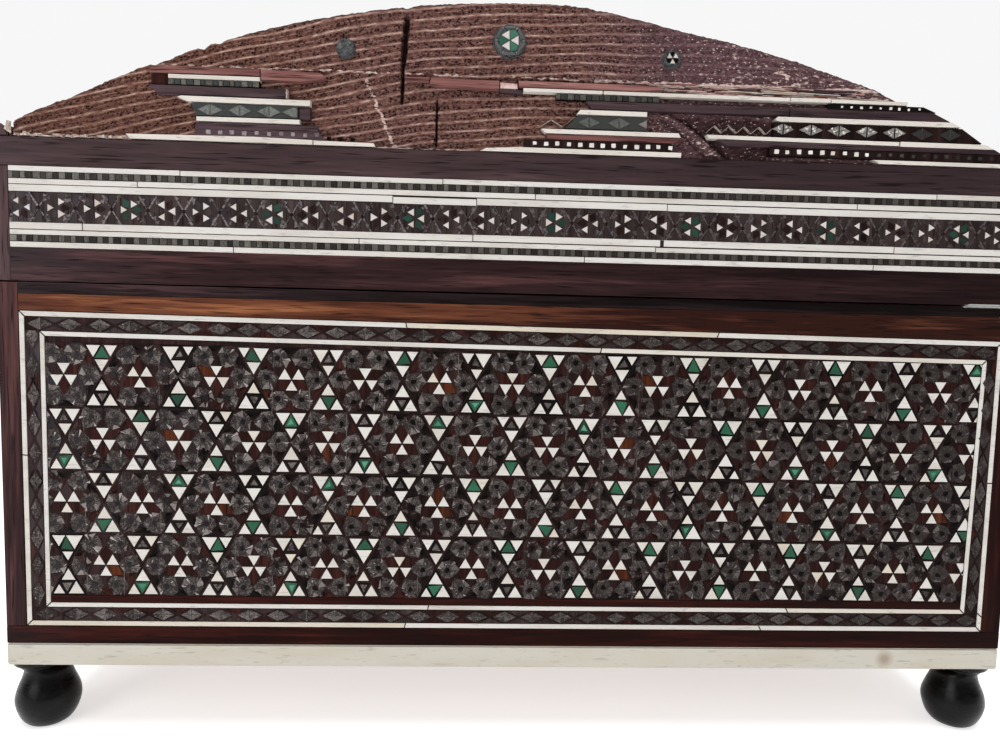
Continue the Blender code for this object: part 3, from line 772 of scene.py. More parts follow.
class TileSheet:
    """Tiles and veneers on one face, which become one mesh."""

    def __init__(self, name: str, face: Face | DomeFace, seed: int, ground: float = 0.16) -> None:
        """Starts an empty sheet.

        Args:
            name: the piece's name.
            face: where the tiles lie.
            seed: for the small differences between tiles.
            ground: how deep below the face the tiles' feet reach.
        """
        self.name = name
        self.face = face
        self.ground = ground
        self.chance = random.Random(seed)
        self.points: list[tuple[float, float, float]] = []
        self.faces: list[tuple[int, ...]] = []
        self.slots: list[int] = []
        self.tones: list[float] = []
        self.finishes: list[Finish] = []

    def lay(
        self,
        outline: Outline,
        finish: Finish,
        tone: float | None = None,
        top: float = -0.03,
        foot: float | None = None,
        joint: float = 0.035,
        soften: float = 0.05,
        tilt: float = 0.4,
    ) -> None:
        """Adds one tile.

        Args:
            outline: its convex outline, anticlockwise, up to the middle of its joints.
            finish: what it is made of.
            tone: from 0 to 1, its place in the finish's range. Random if it is None.
            top: its top's height above the face.
            foot: its foot's height above the face.
            joint: half of the gap to its neighbour.
            soften: how far its worn edge is drawn in.
            tilt: how many degrees its top may lean.
        """
        if len(outline) < 3 or area(outline) < SMALLEST_TILE:
            return
        base = inset(outline, joint)
        rim = inset(base, soften)
        tone = self.chance.random() if tone is None else tone
        foot = -self.ground if foot is None else foot
        x, y = centre(rim)
        reach = max(math.dist(point, (x, y)) for point in rim)
        lean = min(math.tan(math.radians(tilt)), 0.025 / reach)
        slopes = self.chance.uniform(-lean, lean), self.chance.uniform(-lean, lean)
        heights = [slopes[0] * (px - x) + slopes[1] * (py - y) for px, py in rim]
        most = max(heights)
        heights = [top + height - most for height in heights]
        if self.face.curved:
            self.lay_curved(base, rim, top, foot, finish, tone)
            return
        count = len(rim)
        first = len(self.points)
        self.points += [self.face.place(*point, foot) for point in base]
        self.points += [self.face.place(*point, height) for point, height in zip(rim, heights)]
        self.add_face(tuple(range(first + count, first + 2 * count)), finish, tone)
        for side in range(count):
            after = (side + 1) % count
            ring = (first + side, first + after, first + count + after, first + count + side)
            self.add_face(ring, finish, tone)

    def lay_curved(
        self, base: Outline, rim: Outline, top: float, foot: float, finish: Finish, tone: float
    ) -> None:
        """Adds one tile in slices that follow the arch.

        Args:
            base: the tile's outline at its foot.
            rim: its outline at its top.
            top: its top's height above the face.
            foot: its foot's height above the face.
            finish: what it is made of.
            tone: its place in the finish's range.
        """
        step = 2.5
        low = min(up for _, up in rim)
        high = max(up for _, up in rim)
        slices = max(1, math.ceil((high - low) / step))
        for number in range(slices):
            start = low + (high - low) * number / slices
            end = low + (high - low) * (number + 1) / slices
            part = rim
            if number > 0:
                part = cut(part, (0.0, start), (1.0, start))
            if part and number < slices - 1:
                part = cut(part, (1.0, end), (0.0, end))
            if part:
                first = len(self.points)
                self.points += [self.face.place(*point, top) for point in part]
                self.add_face(tuple(range(first, first + len(part))), finish, tone)
        for index in range(len(rim)):
            after = (index + 1) % len(rim)
            pieces = max(1, math.ceil(abs(rim[after][1] - rim[index][1]) / step))
            for piece in range(pieces):
                first = len(self.points)
                for share in (piece / pieces, (piece + 1) / pieces):
                    foot_at = between(base[index], base[after], share)
                    top_at = between(rim[index], rim[after], share)
                    self.points += [self.face.place(*foot_at, foot), self.face.place(*top_at, top)]
                self.add_face((first, first + 2, first + 3, first + 1), finish, tone)

    def add_face(self, corners: tuple[int, ...], finish: Finish, tone: float) -> None:
        """Adds one polygon with its finish and tone.

        Args:
            corners: the numbers of its points.
            finish: what it is made of.
            tone: its place in the finish's range.
        """
        if finish not in self.finishes:
            self.finishes.append(finish)
        self.faces.append(corners)
        self.slots.append(self.finishes.index(finish))
        self.tones.append(tone)

    def bar(
        self,
        start: Point,
        end: Point,
        width: float,
        finish: Finish,
        breaks: Sequence[float] = (),
        **more: float,
    ) -> None:
        """Adds a straight strip with square ends, cut into pieces at those shares of its length.

        Args:
            start: the middle of one end.
            end: the middle of the other.
            width: how wide it is.
            finish: what it is made of.
            breaks: where it is cut.
            more: settings for each tile.
        """
        length = math.dist(start, end)
        side = Vector((start[1] - end[1], end[0] - start[0])) * (width / 2 / length)
        outline = [
            (start[0] - side.x, start[1] - side.y),
            (end[0] - side.x, end[1] - side.y),
            (end[0] + side.x, end[1] + side.y),
            (start[0] + side.x, start[1] + side.y),
        ]
        self.strip(outline, finish, breaks, **more)

    def strip(self, outline: Outline, finish: Finish, breaks: Sequence[float] = (), **more: float) -> None:
        """Adds a long four-cornered strip, cut across at those shares of its length.

        Args:
            outline: its four corners, the first two along one side.
            finish: what it is made of.
            breaks: where it is cut.
            more: settings for each tile.
        """
        a, b, c, d = outline
        marks = [0.0, *sorted(breaks), 1.0]
        for start, end in zip(marks, marks[1:]):
            piece = [between(a, b, start), between(a, b, end), between(d, c, end), between(d, c, start)]
            self.lay(piece, finish, **more)

    def build(self) -> bpy.types.Object:
        """Makes the mesh, with each tile's tone as a face attribute.

        Returns:
            The piece.
        """
        mesh = bpy.data.meshes.new(self.name)
        mesh.from_pydata(self.points, [], self.faces)
        for finish in self.finishes:
            mesh.materials.append(finish.material())
        mesh.polygons.foreach_set("material_index", self.slots)
        mesh.attributes.new("tone", "FLOAT", "FACE").data.foreach_set("value", self.tones)
        mesh.update()
        return add_object(self.name, mesh)


def add_object(name: str, mesh: bpy.types.Mesh) -> bpy.types.Object:
    """Puts a mesh in the scene as a piece.

    Args:
        name: the piece's name.
        mesh: its mesh.

    Returns:
        The piece.
    """
    piece = bpy.data.objects.new(name, mesh)
    bpy.context.scene.collection.objects.link(piece)
    return piece


def made_from(shape: bmesh.types.BMesh, name: str, *finishes: Finish) -> bpy.types.Object:
    """Turns a worked shape into a piece.

    Args:
        shape: the shape, which is used up.
        name: the piece's name.
        finishes: what it is made of.

    Returns:
        The piece.
    """
    mesh = bpy.data.meshes.new(name)
    shape.to_mesh(mesh)
    shape.free()
    for finish in finishes:
        mesh.materials.append(finish.material())
    return add_object(name, mesh)


def deliver(piece: bpy.types.Object, body: str, replaced: Sequence[str] = ()) -> None:
    """Registers a finished piece with the frame and reports it.

    Args:
        piece: the finished piece.
        body: the CAD body it rides on.
        replaced: the CAD nodes it stands in for.
    """
    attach(piece, body)
    if replaced:
        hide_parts(*replaced)
    log.info("%s: %d faces on %s", piece.name, len(piece.data.polygons), body)


# ---------------------------------------------------------------- patterns


@dataclass
class Stringing:
    """A frame of bone lines with mitred corners, given by the corners of its outer edge."""

    corners: Outline
    width: float
    finish: Finish = BONE

    def lay(self, sheet: TileSheet, breaks: Sequence[Sequence[float]] = ((), (), (), ())) -> Outline:
        """Lays the four lines.

        Args:
            sheet: where they are laid.
            breaks: where the bottom, right, top and left lines are pieced, as shares of each.

        Returns:
            The corners of the inner edge.
        """
        inner = inset(self.corners, self.width)
        for side in range(4):
            after = (side + 1) % 4
            outline = [self.corners[side], self.corners[after], inner[after], inner[side]]
            sheet.strip(outline, self.finish, breaks[side], joint=0.08, soften=0.07, tilt=0.1)
        return inner


@dataclass
class LozengeBand:
    """A row of pewter lozenges on dark wood, between two lines."""

    start: Point
    end: Point
    width: float
    pitch: float = 5.6
    length: float = 4.5
    first: float = 2.8
    finish: Finish = PEWTER
    rich: bool = True

    def lay(self, sheet: TileSheet) -> None:
        """Lays the ground strip, the lozenges, their cross lines, tin tips and side tiles.

        Args:
            sheet: where they are laid.
        """
        run = math.dist(self.start, self.end)
        along = Vector(self.end) - Vector(self.start)
        along /= run
        side = Vector((-along.y, along.x))

        def spot(forward: float, offset: float) -> Point:
            """A point along and across the band."""
            place = Vector(self.start) + along * forward + side * offset
            return place.x, place.y

        half = self.width / 2
        chance = sheet.chance
        sheet.strip(
            [spot(0, -half), spot(run, -half), spot(run, half), spot(0, half)],
            PLATE,
            [index / 6 for index in range(1, 6)],
            top=-0.09,
            joint=0.02,
        )

        def tile(corners: Sequence[Point], finish: Finish, **more: float) -> None:
            """Lays one tile given by points along and across, cut to the band.

            Args:
                corners: points along and across the band.
                finish: what it is made of.
                more: its settings.
            """
            ends = (spot(run, -1), spot(run, 1)), (spot(0, 1), spot(0, -1))
            outline = within([spot(*corner) for corner in corners], *ends)
            sheet.lay(outline if area(outline) > 0 else outline[::-1], finish, **more)

        forward = self.first
        while forward < run - 1.0:
            reach = self.length / 2 * chance.uniform(0.94, 1.08)
            rise = half * chance.uniform(0.82, 0.96)
            level = chance.uniform(0.0, 0.22)
            if self.rich:
                for edge in (1, -1):
                    middle = forward + self.pitch / 2
                    base = self.pitch / 2 - 0.35
                    ends = ((middle - base, edge * half), (middle + base, edge * half))
                    corners = (ends[0], (middle, edge * 0.25), ends[1])
                    kind = BAND_PLATE if chance.random() < 0.6 else RED_TILE
                    tile(corners, kind, top=-0.07, tone=chance.uniform(0.0, 0.6))
            for turn in (1, -1):
                for edge in (1, -1):
                    corners = ((forward, 0), (forward + turn * reach, 0), (forward, edge * rise))
                    tone = level + chance.uniform(-0.12, 0.2)
                    tile(corners, self.finish, tone=max(0.0, tone), joint=0.015, soften=0.03)
                    if self.rich and chance.random() < 0.6:
                        share = chance.uniform(0.3, 0.75)
                        a = (forward + turn * reach * share, edge * rise * (1 - share))
                        b = (forward + turn * reach * (share + 0.16), edge * rise * (0.84 - share))
                        c = (forward + turn * reach * share, edge * rise * (0.72 - share))
                        tone = chance.uniform(0, 0.5)
                        tile((a, b, c), TIN, top=-0.015, joint=0.0, soften=0.02, tone=tone)
            if self.rich:
                line = quad(forward - 0.06, forward + 0.06, -rise, rise)
                tile(line, PEWTER, top=-0.012, joint=0.0, soften=0.01, tone=chance.uniform(0, 0.4))
            forward += self.pitch * chance.uniform(0.985, 1.015)


def lozenge_frame(sheet: TileSheet, ring: Outline, width: float, rich: bool) -> Outline:
    """Lays four lozenge bands round the inside of a frame.

    Args:
        sheet: where they are laid.
        ring: the corners of the frame's inner edge.
        width: how wide the bands are.
        rich: whether they have their tin tips, cross lines and side tiles.

    Returns:
        The corners of the bands' inner edge.
    """
    half = width / 2
    a, b, c, d = inset(ring, half)
    for start, end in (
        ((a[0] - half, a[1]), (b[0] + half, b[1])),
        ((b[0], b[1] + half), (c[0], c[1] - half)),
        ((d[0] - half, d[1]), (c[0] + half, c[1])),
        ((a[0], a[1] + half), (d[0], d[1] - half)),
    ):
        LozengeBand(start, end, width, rich=rich).lay(sheet)
    return inset(ring, width)


def dot_row(
    sheet: TileSheet,
    left: float,
    right: float,
    low: float,
    high: float,
    finish: Finish,
    dark: Finish,
    **more: float,
) -> None:
    """A row of light and dark cells, cut from one glued stick.

    Args:
        sheet: where it is laid.
        left: where it begins.
        right: where it ends.
        low: its lower edge.
        high: its upper edge.
        finish: the light cells.
        dark: the dark cells.
        more: settings for each cell.
    """
    chance = sheet.chance
    at = left
    while at < right - 0.3:
        pitch = 2.25 * chance.uniform(0.9, 1.1)
        middle = min(at + pitch * chance.uniform(0.4, 0.62), right)
        tone = chance.uniform(0.15, 0.6) if chance.random() < 0.9 else chance.uniform(0.6, 0.85)
        sheet.lay(quad(at, middle, low, high), finish, tone=tone, **more)
        if middle < right - 0.2:
            end = min(at + pitch, right)
            sheet.lay(quad(middle, end, low, high), dark, tone=chance.uniform(0.0, 0.5), **more)
        at += pitch


@dataclass
class FlowerField:
    """Rows of six-sided flowers with triangles above and below each point where two flowers touch."""

    sheet: TileSheet
    left: float
    right: float
    low: float
    high_left: float
    high_right: float
    first: Point
    side: float = FLOWER_SIDE
    rows: int = 4
    rich: bool = True
    wander: float = 0.12

    def lay(self) -> None:
        """Lays the field row by row."""
        count = math.ceil((self.right - self.left) / self.side / 2) + 2
        pitch = self.side * math.sqrt(3)
        for row in range(self.rows):
            for index in range(-1, count):
                x = self.first[0] + (2 * index + row % 2) * self.side
                middle = (x, self.first[1] - row * pitch)
                if self.left - self.side < x < self.right + self.side:
                    self.flower(middle, row, index)
                touch = (x + self.side, middle[1])
                if self.left - self.side < touch[0] < self.right + self.side:
                    self.pointed(touch, 1, (index + row // 2) % 2 == 0)
                    self.pointed(touch, -1, (index + row // 2) % 2 == 1)
        if self.rich:
            self.seams()

    def put(self, outline: Outline, finish: Finish, **more: float) -> None:
        """Lays one tile, moved a little as by hand and cut to the field.

        Args:
            outline: the tile's outline.
            finish: what it is made of.
            more: its settings.
        """
        moved = []
        for x, y in outline:
            spot = Vector((x / 16, y / 16, 3.7))
            moved.append((x + self.wander * noise.noise(spot), y + self.wander * noise.noise(spot.zxy)))
        a, b = (self.left, self.low), (self.right, self.low)
        c, d = (self.right, self.high_right), (self.left, self.high_left)
        # The right end's frame leans outwards towards its top, and the field follows it.
        foot = (self.right - (0.7 if self.rich else 0.0), self.low)
        self.sheet.lay(within(moved, (d, a), (a, b), (foot, c), (c, d)), finish, **more)

    def flower(self, middle: Point, row: int, index: int) -> None:
        """One six-sided plate: three white triangles, three red lozenges and six corner blocks.

        Args:
            middle: its middle.
            row: its row, counted from the top.
            index: its number in the row.
        """
        chance = self.sheet.chance
        unit = self.side / 3
        self.put(regular(middle, self.side, 6), PLATE, top=-0.07, joint=0.02)
        upright = row == 2 or (row in (0, 3) and index % 2 == 1)
        if chance.random() < 0.03:
            upright = not upright
        hub = (middle[0] + chance.uniform(-0.12, 0.12), middle[1] + chance.uniform(-0.12, 0.12))
        for sector in range(3):
            start = sector * 120 + (0 if upright else 60)
            size = unit * chance.uniform(1.02, 1.12)
            white = rays(hub, (0, 0), (size, start), (size, start + 60))
            self.put(white, BONE, joint=0.05)
            turn = start + 90
            red = rays(hub, (0, 0), (unit, turn - 30), (unit * 1.7, turn), (unit, turn + 30))
            kind = ORANGE_TILE if chance.random() < 0.06 else RED_TILE
            self.put(red, kind, joint=0.05, top=-0.04)
        for corner in range(6):
            self.corner_block(around(middle, 2 * unit * 0.985, 60 * corner), unit, 60 * corner)
        for edge in range(6):
            turn = 60 * edge + 30
            foot = around(middle, self.side * math.sqrt(3) / 2 - 0.12, turn)
            reach = 1.9 * chance.uniform(0.85, 1.1)
            a = around(foot, reach, turn - 90)
            b = around(foot, reach, turn + 90)
            peak = 1.5 * chance.uniform(0.85, 1.1)
            c = around(foot, peak, turn + 180 + 32)
            d = around(foot, peak, turn + 180 - 32)
            self.put([a, b, c, d], EBONY if chance.random() < 0.6 else RED_TILE, top=-0.035)

    def corner_block(self, middle: Point, unit: float, turn: float) -> None:
        """A hexagon of dark and light pewter splinters round a black point.

        Args:
            middle: the corner of the flower it sits in.
            unit: a third of a flower's side.
            turn: the way from the flower to it, in degrees.
        """
        chance = self.sheet.chance
        twist = turn + chance.uniform(-4, 4)
        level = chance.uniform(0.06, 0.28)
        middle = around(middle, 0.1, chance.uniform(0, 360))
        flip = chance.randrange(2)
        rim = []
        for side in range(6):
            reach = unit * (1.06 if (side + flip) % 2 else 0.8)
            rim.append(around(middle, reach * chance.uniform(0.93, 1.03), twist + 60 * side))
        core = around(middle, 0.3, chance.uniform(0, 360))
        self.put(rim, PEWTER, tone=level * 0.2, top=-0.06, joint=0.0)
        lean = chance.choice((-1, 1)) * chance.uniform(3, 10)
        for wedge in range(6):
            angle = twist + 60 * wedge + chance.uniform(-7, 7)
            long = (wedge + flip) % 2 == 1
            reach = unit * (chance.uniform(0.84, 1.04) if long else chance.uniform(0.56, 0.82))
            chip = [
                around(core, unit * chance.uniform(0.3, 0.45), angle + 12),
                around(middle, reach, angle + 5 - lean),
                around(middle, reach * chance.uniform(0.75, 1.0), angle + 50 - lean),
                around(core, unit * 0.42, angle + 44),
            ]
            if chance.random() < 0.45:
                chip.pop(chance.choice((0, 3)))
            steps = (-0.1, 0.0, 0.1, 0.3, 0.6) if long else (-0.3, -0.2, -0.1, 0.1)
            tone = min(1.0, max(0.0, level + chance.choice(steps)))
            self.put(chip, PEWTER, tone=tone, top=-0.04, joint=0.04, soften=0.02)
            if self.rich:
                sliver = [
                    around(core, unit * chance.uniform(0.3, 0.5), angle + 54),
                    around(middle, reach * chance.uniform(0.7, 0.98), angle + 50 - lean),
                    around(middle, reach * chance.uniform(0.8, 1.0), angle + 64 - lean),
                ]
                bright = chance.random() < 0.4
                tone = chance.uniform(0.25, 0.8) if bright else chance.uniform(0.0, 0.4)
                self.put(sliver, TIN if bright else PEWTER, tone=tone, top=-0.03, joint=0.0, soften=0.02)
        reaches = [unit * chance.uniform(0.17, 0.33) for _ in range(6)]
        dark = [around(core, reach, twist + 30 + 60 * side) for side, reach in enumerate(reaches)]
        self.put(dark, EBONY, top=-0.018, joint=0.0, soften=0.03, tone=0.0)

    def pointed(self, touch: Point, way: int, green: bool) -> None:
        """The triangle above (way 1) or below (way -1) a touching point: three white corners and a core.

        Args:
            touch: where the two flowers touch.
            way: 1 for the triangle above and -1 for the one below.
            green: whether its core is green bone.
        """
        chance = self.sheet.chance
        rise = self.side * math.sqrt(3) / 2
        plate = [touch, (touch[0] + self.side / 2, touch[1] + way * rise)]
        plate += [(touch[0] - self.side / 2, touch[1] + way * rise)]
        plate = plate if way > 0 else plate[::-1]
        self.put(plate, EBONY if chance.random() < 0.3 else PLATE, top=-0.07, joint=0.02)
        corners = inset(plate, 0.34)
        shares = [chance.uniform(0.36, 0.56) for _ in range(3)]
        scale = 1.38 / sum(shares)
        shares = [min(0.56, share * scale) for share in shares]
        marks = []
        for index in range(3):
            here, after, before = corners[index], corners[(index + 1) % 3], corners[index - 1]
            share = shares[index]
            white = [here, between(here, after, share), between(here, before, share)]
            self.put(white, BONE, joint=0.03)
            spare = 1 - shares[index] - shares[(index + 1) % 3]
            marks.append(between(here, after, share + spare / 2))
        hub = centre(marks)
        if green:
            self.put(marks, GREEN, joint=0.06, tone=chance.betavariate(1.6, 1.6))
            if chance.random() < 0.2:
                small = [between(hub, mark, chance.uniform(0.35, 0.62)) for mark in marks]
                self.put(small, PALE_GREEN, top=-0.02, joint=0.0, tone=chance.uniform(0, 1))
        else:
            self.put(marks, EBONY, joint=0.07)
            small = [between(hub, mark, chance.uniform(0.45, 0.75)) for mark in marks]
            self.put(small, PEWTER, top=-0.02, joint=0.0, tone=chance.uniform(0.1, 0.45))

    def seams(self) -> None:
        """The upright joints of the glued blocks, where a thread of light filler shows now and then."""
        chance = self.sheet.chance
        x = self.first[0] + self.side / 2
        while x < self.right:
            for row in range(self.rows):
                middle = self.first[1] - row * self.side * math.sqrt(3)
                for start, end in ((-6.0, -1.6), (1.6, 6.0)):
                    if chance.random() < 0.6:
                        start, end = start * chance.uniform(0.8, 1), end * chance.uniform(0.8, 1)
                        line = quad(x - 0.06, x + 0.06, middle + start, middle + end)
                        dark = chance.random() < 0.55
                        kind, tone = (EBONY, 0.0) if dark else (PEWTER, chance.uniform(0.2, 0.5))
                        self.put(line, kind, top=-0.015, joint=0.0, soften=0.01, tone=tone)
            x += self.side


@dataclass
class RosetteBand:
    """The lid's band: little flowers of three white triangles between crossed tin lines."""

    sheet: TileSheet
    left: float
    right: float
    low: float
    high: float
    green_at: float
    pitch: float = 6.69

    def lay(self) -> None:
        """Lays the ground, then each rosette and the cross to its right."""
        chance = self.sheet.chance
        middle = (self.low + self.high) / 2
        number = math.floor((self.left - self.green_at) / self.pitch)
        while self.green_at + number * self.pitch < self.right + self.pitch:
            hub = (self.green_at + number * self.pitch, middle)
            green = number % 4 == 0
            rightward = chance.random() < 0.5
            if number >= -3:
                # The first ones keep the order that the band begins with.
                rightward = {-2: True, -1: True, 0: True, 2: True}.get(number, rightward and number > 5)
            self.rosette(hub, green, rightward)
            self.cross((hub[0] + self.pitch / 2, middle))
            number += 1

    def put(self, outline: Outline, finish: Finish, **more: float) -> None:
        """Lays one tile, cut to the band's ends.

        Args:
            outline: the tile's outline.
            finish: what it is made of.
            more: its settings.
        """
        a, b, c, d = quad(self.left, self.right, self.low, self.high)
        self.sheet.lay(within(outline, (d, a), (b, c)), finish, **more)

    def rosette(self, hub: Point, green: bool, rightward: bool) -> None:
        """Three white triangles round the hub, all pointing the same way, on brown or green.

        Args:
            hub: its middle.
            green: whether its ground is green.
            rightward: whether its triangles point to the right.
        """
        chance = self.sheet.chance
        half = (self.high - self.low) / 2
        wide = self.pitch / 2 - 0.15
        ground = [
            (hub[0] - 1.75, self.low),
            (hub[0] + 1.75, self.low),
            (hub[0] + wide, hub[1]),
            (hub[0] + 1.75, self.high),
            (hub[0] - 1.75, self.high),
            (hub[0] - wide, hub[1]),
        ]
        self.put(ground, BAND_PLATE, top=-0.07, joint=0.02)
        turn = 60 if rightward else 0
        for sector in range(3):
            angle = turn + 120 * sector
            tip = (half * 0.92, angle + 60)
            rhomb = rays(hub, (0.3, angle + 60), (1.5, angle + 25), tip, (1.5, angle + 95))
            kind = DARK_GREEN if green else (BAND_PLATE if chance.random() < 0.55 else PLATE)
            self.put(rhomb, kind, joint=0.03, top=-0.05, tone=chance.uniform(0.0, 0.7))
            spot = around(hub, 1.3 * chance.uniform(0.96, 1.04), angle)
            white = regular(spot, 1.02 * chance.uniform(0.82, 1.02), 3, 0 if rightward else 180)
            self.put(white, DUSTY_BONE, joint=0.05)
        for side in (-1, 1):
            for edge in (-1, 1):
                corner = (hub[0] + side * 1.95, hub[1] + edge * half * 0.66)
                for _ in range(3):
                    spot = around(corner, 0.5, chance.uniform(0, 360))
                    shape = regular(spot, chance.uniform(0.4, 0.75), 3, chance.uniform(0, 120))
                    self.put(shape, DULL_TIN, tone=chance.uniform(0.0, 0.6), joint=0.03, top=-0.05)

    def cross(self, hub: Point) -> None:
        """Two crossed tin lines, each of several splinters, with dark triangles above and below.

        Args:
            hub: where the lines cross.
        """
        chance = self.sheet.chance
        half = (self.high - self.low) / 2
        for edge in (-1, 1):
            dark = [(hub[0], hub[1] + edge * 0.25), (hub[0] + 1.5, hub[1] + edge * (half - 0.05))]
            dark += [(hub[0] - 1.5, hub[1] + edge * (half - 0.05))]
            self.put(dark if edge > 0 else dark[::-1], BAND_PLATE, top=-0.05, tone=chance.uniform(0, 0.5))
        for lean in (-1, 1):
            for edge in (-1, 1):
                tip = (hub[0] + lean * 1.72, hub[1] + edge * (half - 0.05))
                level = chance.uniform(0.05, 0.4)
                at = 0.1
                while at < 0.97:
                    end = min(1.0, at + chance.uniform(0.14, 0.4))
                    start_at, end_at = Vector(between(hub, tip, at)), Vector(between(hub, tip, end))
                    along = (end_at - start_at).normalized()
                    side = Vector((-along.y, along.x)) * chance.uniform(0.13, 0.27)
                    line = [start_at - side, end_at - side, end_at + side, start_at + side]
                    tone = min(1.0, level + chance.choice((-0.2, 0.0, 0.12, 0.3, 0.5)))
                    outline = [(p.x, p.y) for p in line]
                    self.put(outline, DULL_TIN, top=-0.03, joint=0.03, soften=0.04, tone=max(0.0, tone))
                    at = end


# ---------------------------------------------------------------- boards


RIGHT_END = Face(HALF_LENGTH, AXIS_Y, AXIS_X, Grain.DEPTH)
LEFT_END = Face(HALF_LENGTH, -AXIS_Y, -AXIS_X, Grain.DEPTH)
FRONT = Face(HALF_DEPTH, AXIS_X, -AXIS_Y, Grain.LENGTH)
BACK = Face(HALF_DEPTH, -AXIS_X, AXIS_Y, Grain.LENGTH)


@dataclass
class Board:
    """A board under the veneer, made from its CAD node with its veneered side let down.

    Attributes:
        node: the CAD node, whose name the board keeps with "_wood" behind it.
        body: the CAD body it rides on.
        outward: the way its veneered side faces, or None if it has none.
        wood: what the rest of it is made of.
        sunk: how far the veneered side lies under the CAD face.
    """

    node: str
    body: str
    outward: Vector | None
    wood: Finish = CARCASS
    sunk: float = 0.12
    soften: float = 0.3

    def build(self) -> None:
        """Makes the board, softens its edges and stands it in for the node."""
        shape = bmesh.new()
        shape.from_mesh(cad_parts[self.node].data)
        bmesh.ops.remove_doubles(shape, verts=shape.verts, dist=0.002 * MM)
        bmesh.ops.dissolve_limit(shape, angle_limit=0.01, verts=shape.verts, edges=shape.edges)
        self.sink(shape)
        shape.normal_update()
        sharp = [e for e in shape.edges if len(e.link_faces) == 2 and e.calc_face_angle() > 0.6]
        bmesh.ops.bevel(
            shape, geom=sharp, offset=self.soften * MM, segments=2, affect="EDGES", clamp_overlap=True
        )
        shape.normal_update()
        for face in shape.faces:
            face.material_index = int(self.is_veneered(face.normal))
        piece = made_from(shape, f"{self.node}_wood", self.wood, MASTIC)
        deliver(piece, self.body, [self.node])

    def is_veneered(self, normal: Vector) -> bool:
        """Tells whether a face looking that way is under the veneer.

        Args:
            normal: the way the face looks.

        Returns:
            Whether it is.
        """
        if self.outward is None:
            return False
        return normal.dot(self.outward) > 0.95 or (not self.outward.x and abs(normal.x) > 0.95)

    def sink(self, shape: bmesh.types.BMesh) -> None:
        """Moves the veneered side in.

        Args:
            shape: the board's mesh.
        """
        if self.outward is None:
            return
        ways = [self.outward] if self.outward.x else [self.outward, AXIS_X, -AXIS_X]
        for way in ways:
            most = max(point.co.dot(way) for point in shape.verts)
            for point in shape.verts:
                if most - point.co.dot(way) < 0.05 * MM:
                    point.co -= way * self.sunk * MM


@dataclass
class ArchedBoard(Board):
    """The dome's panel, veneered over its curved top."""

    def is_veneered(self, normal: Vector) -> bool:
        """Whether a face looking that way is on the arch's outside."""
        return normal.z > 0.8

    def sink(self, shape: bmesh.types.BMesh) -> None:
        """Moves the arched top in.

        Args:
            shape: the panel's mesh.
        """
        low = (ARCH_CENTRE + UNDERSIDE) * MM
        for point in shape.verts:
            radius = math.hypot(point.co.y, point.co.z - low)
            if radius > (ARCH_RADIUS - 0.3) * MM:
                share = (ARCH_RADIUS - self.sunk) * MM / radius
                point.co.y *= share
                point.co.z = low + (point.co.z - low) * share


def glinting_leaf_end(sheet: TileSheet, side: int, inner: float, end: float) -> None:
    """Lays the end of a hinge leaf in the seam, in near-white steel with a painted glint.

    Args:
        sheet: where it is laid.
        side: -1 for the base's leaf and 1 for the lid's.
        inner: where its edge away from the seam begins.
        end: where it ends.
    """
    near, far = SEAM + side * 0.04, SEAM + side * 0.3
    if side < 0:
        outline = [(LEAF_EDGE + 0.3, near), (inner, far), (end, far), (end, near)]
    else:
        outline = [(LEAF_EDGE + 0.3, near), (end, near), (end, far), (inner, far)]
    sheet.lay(outline, LEAF_END_GLINT, tone=1.0, top=-0.03, joint=0.0, soften=0.02, tilt=0.0)


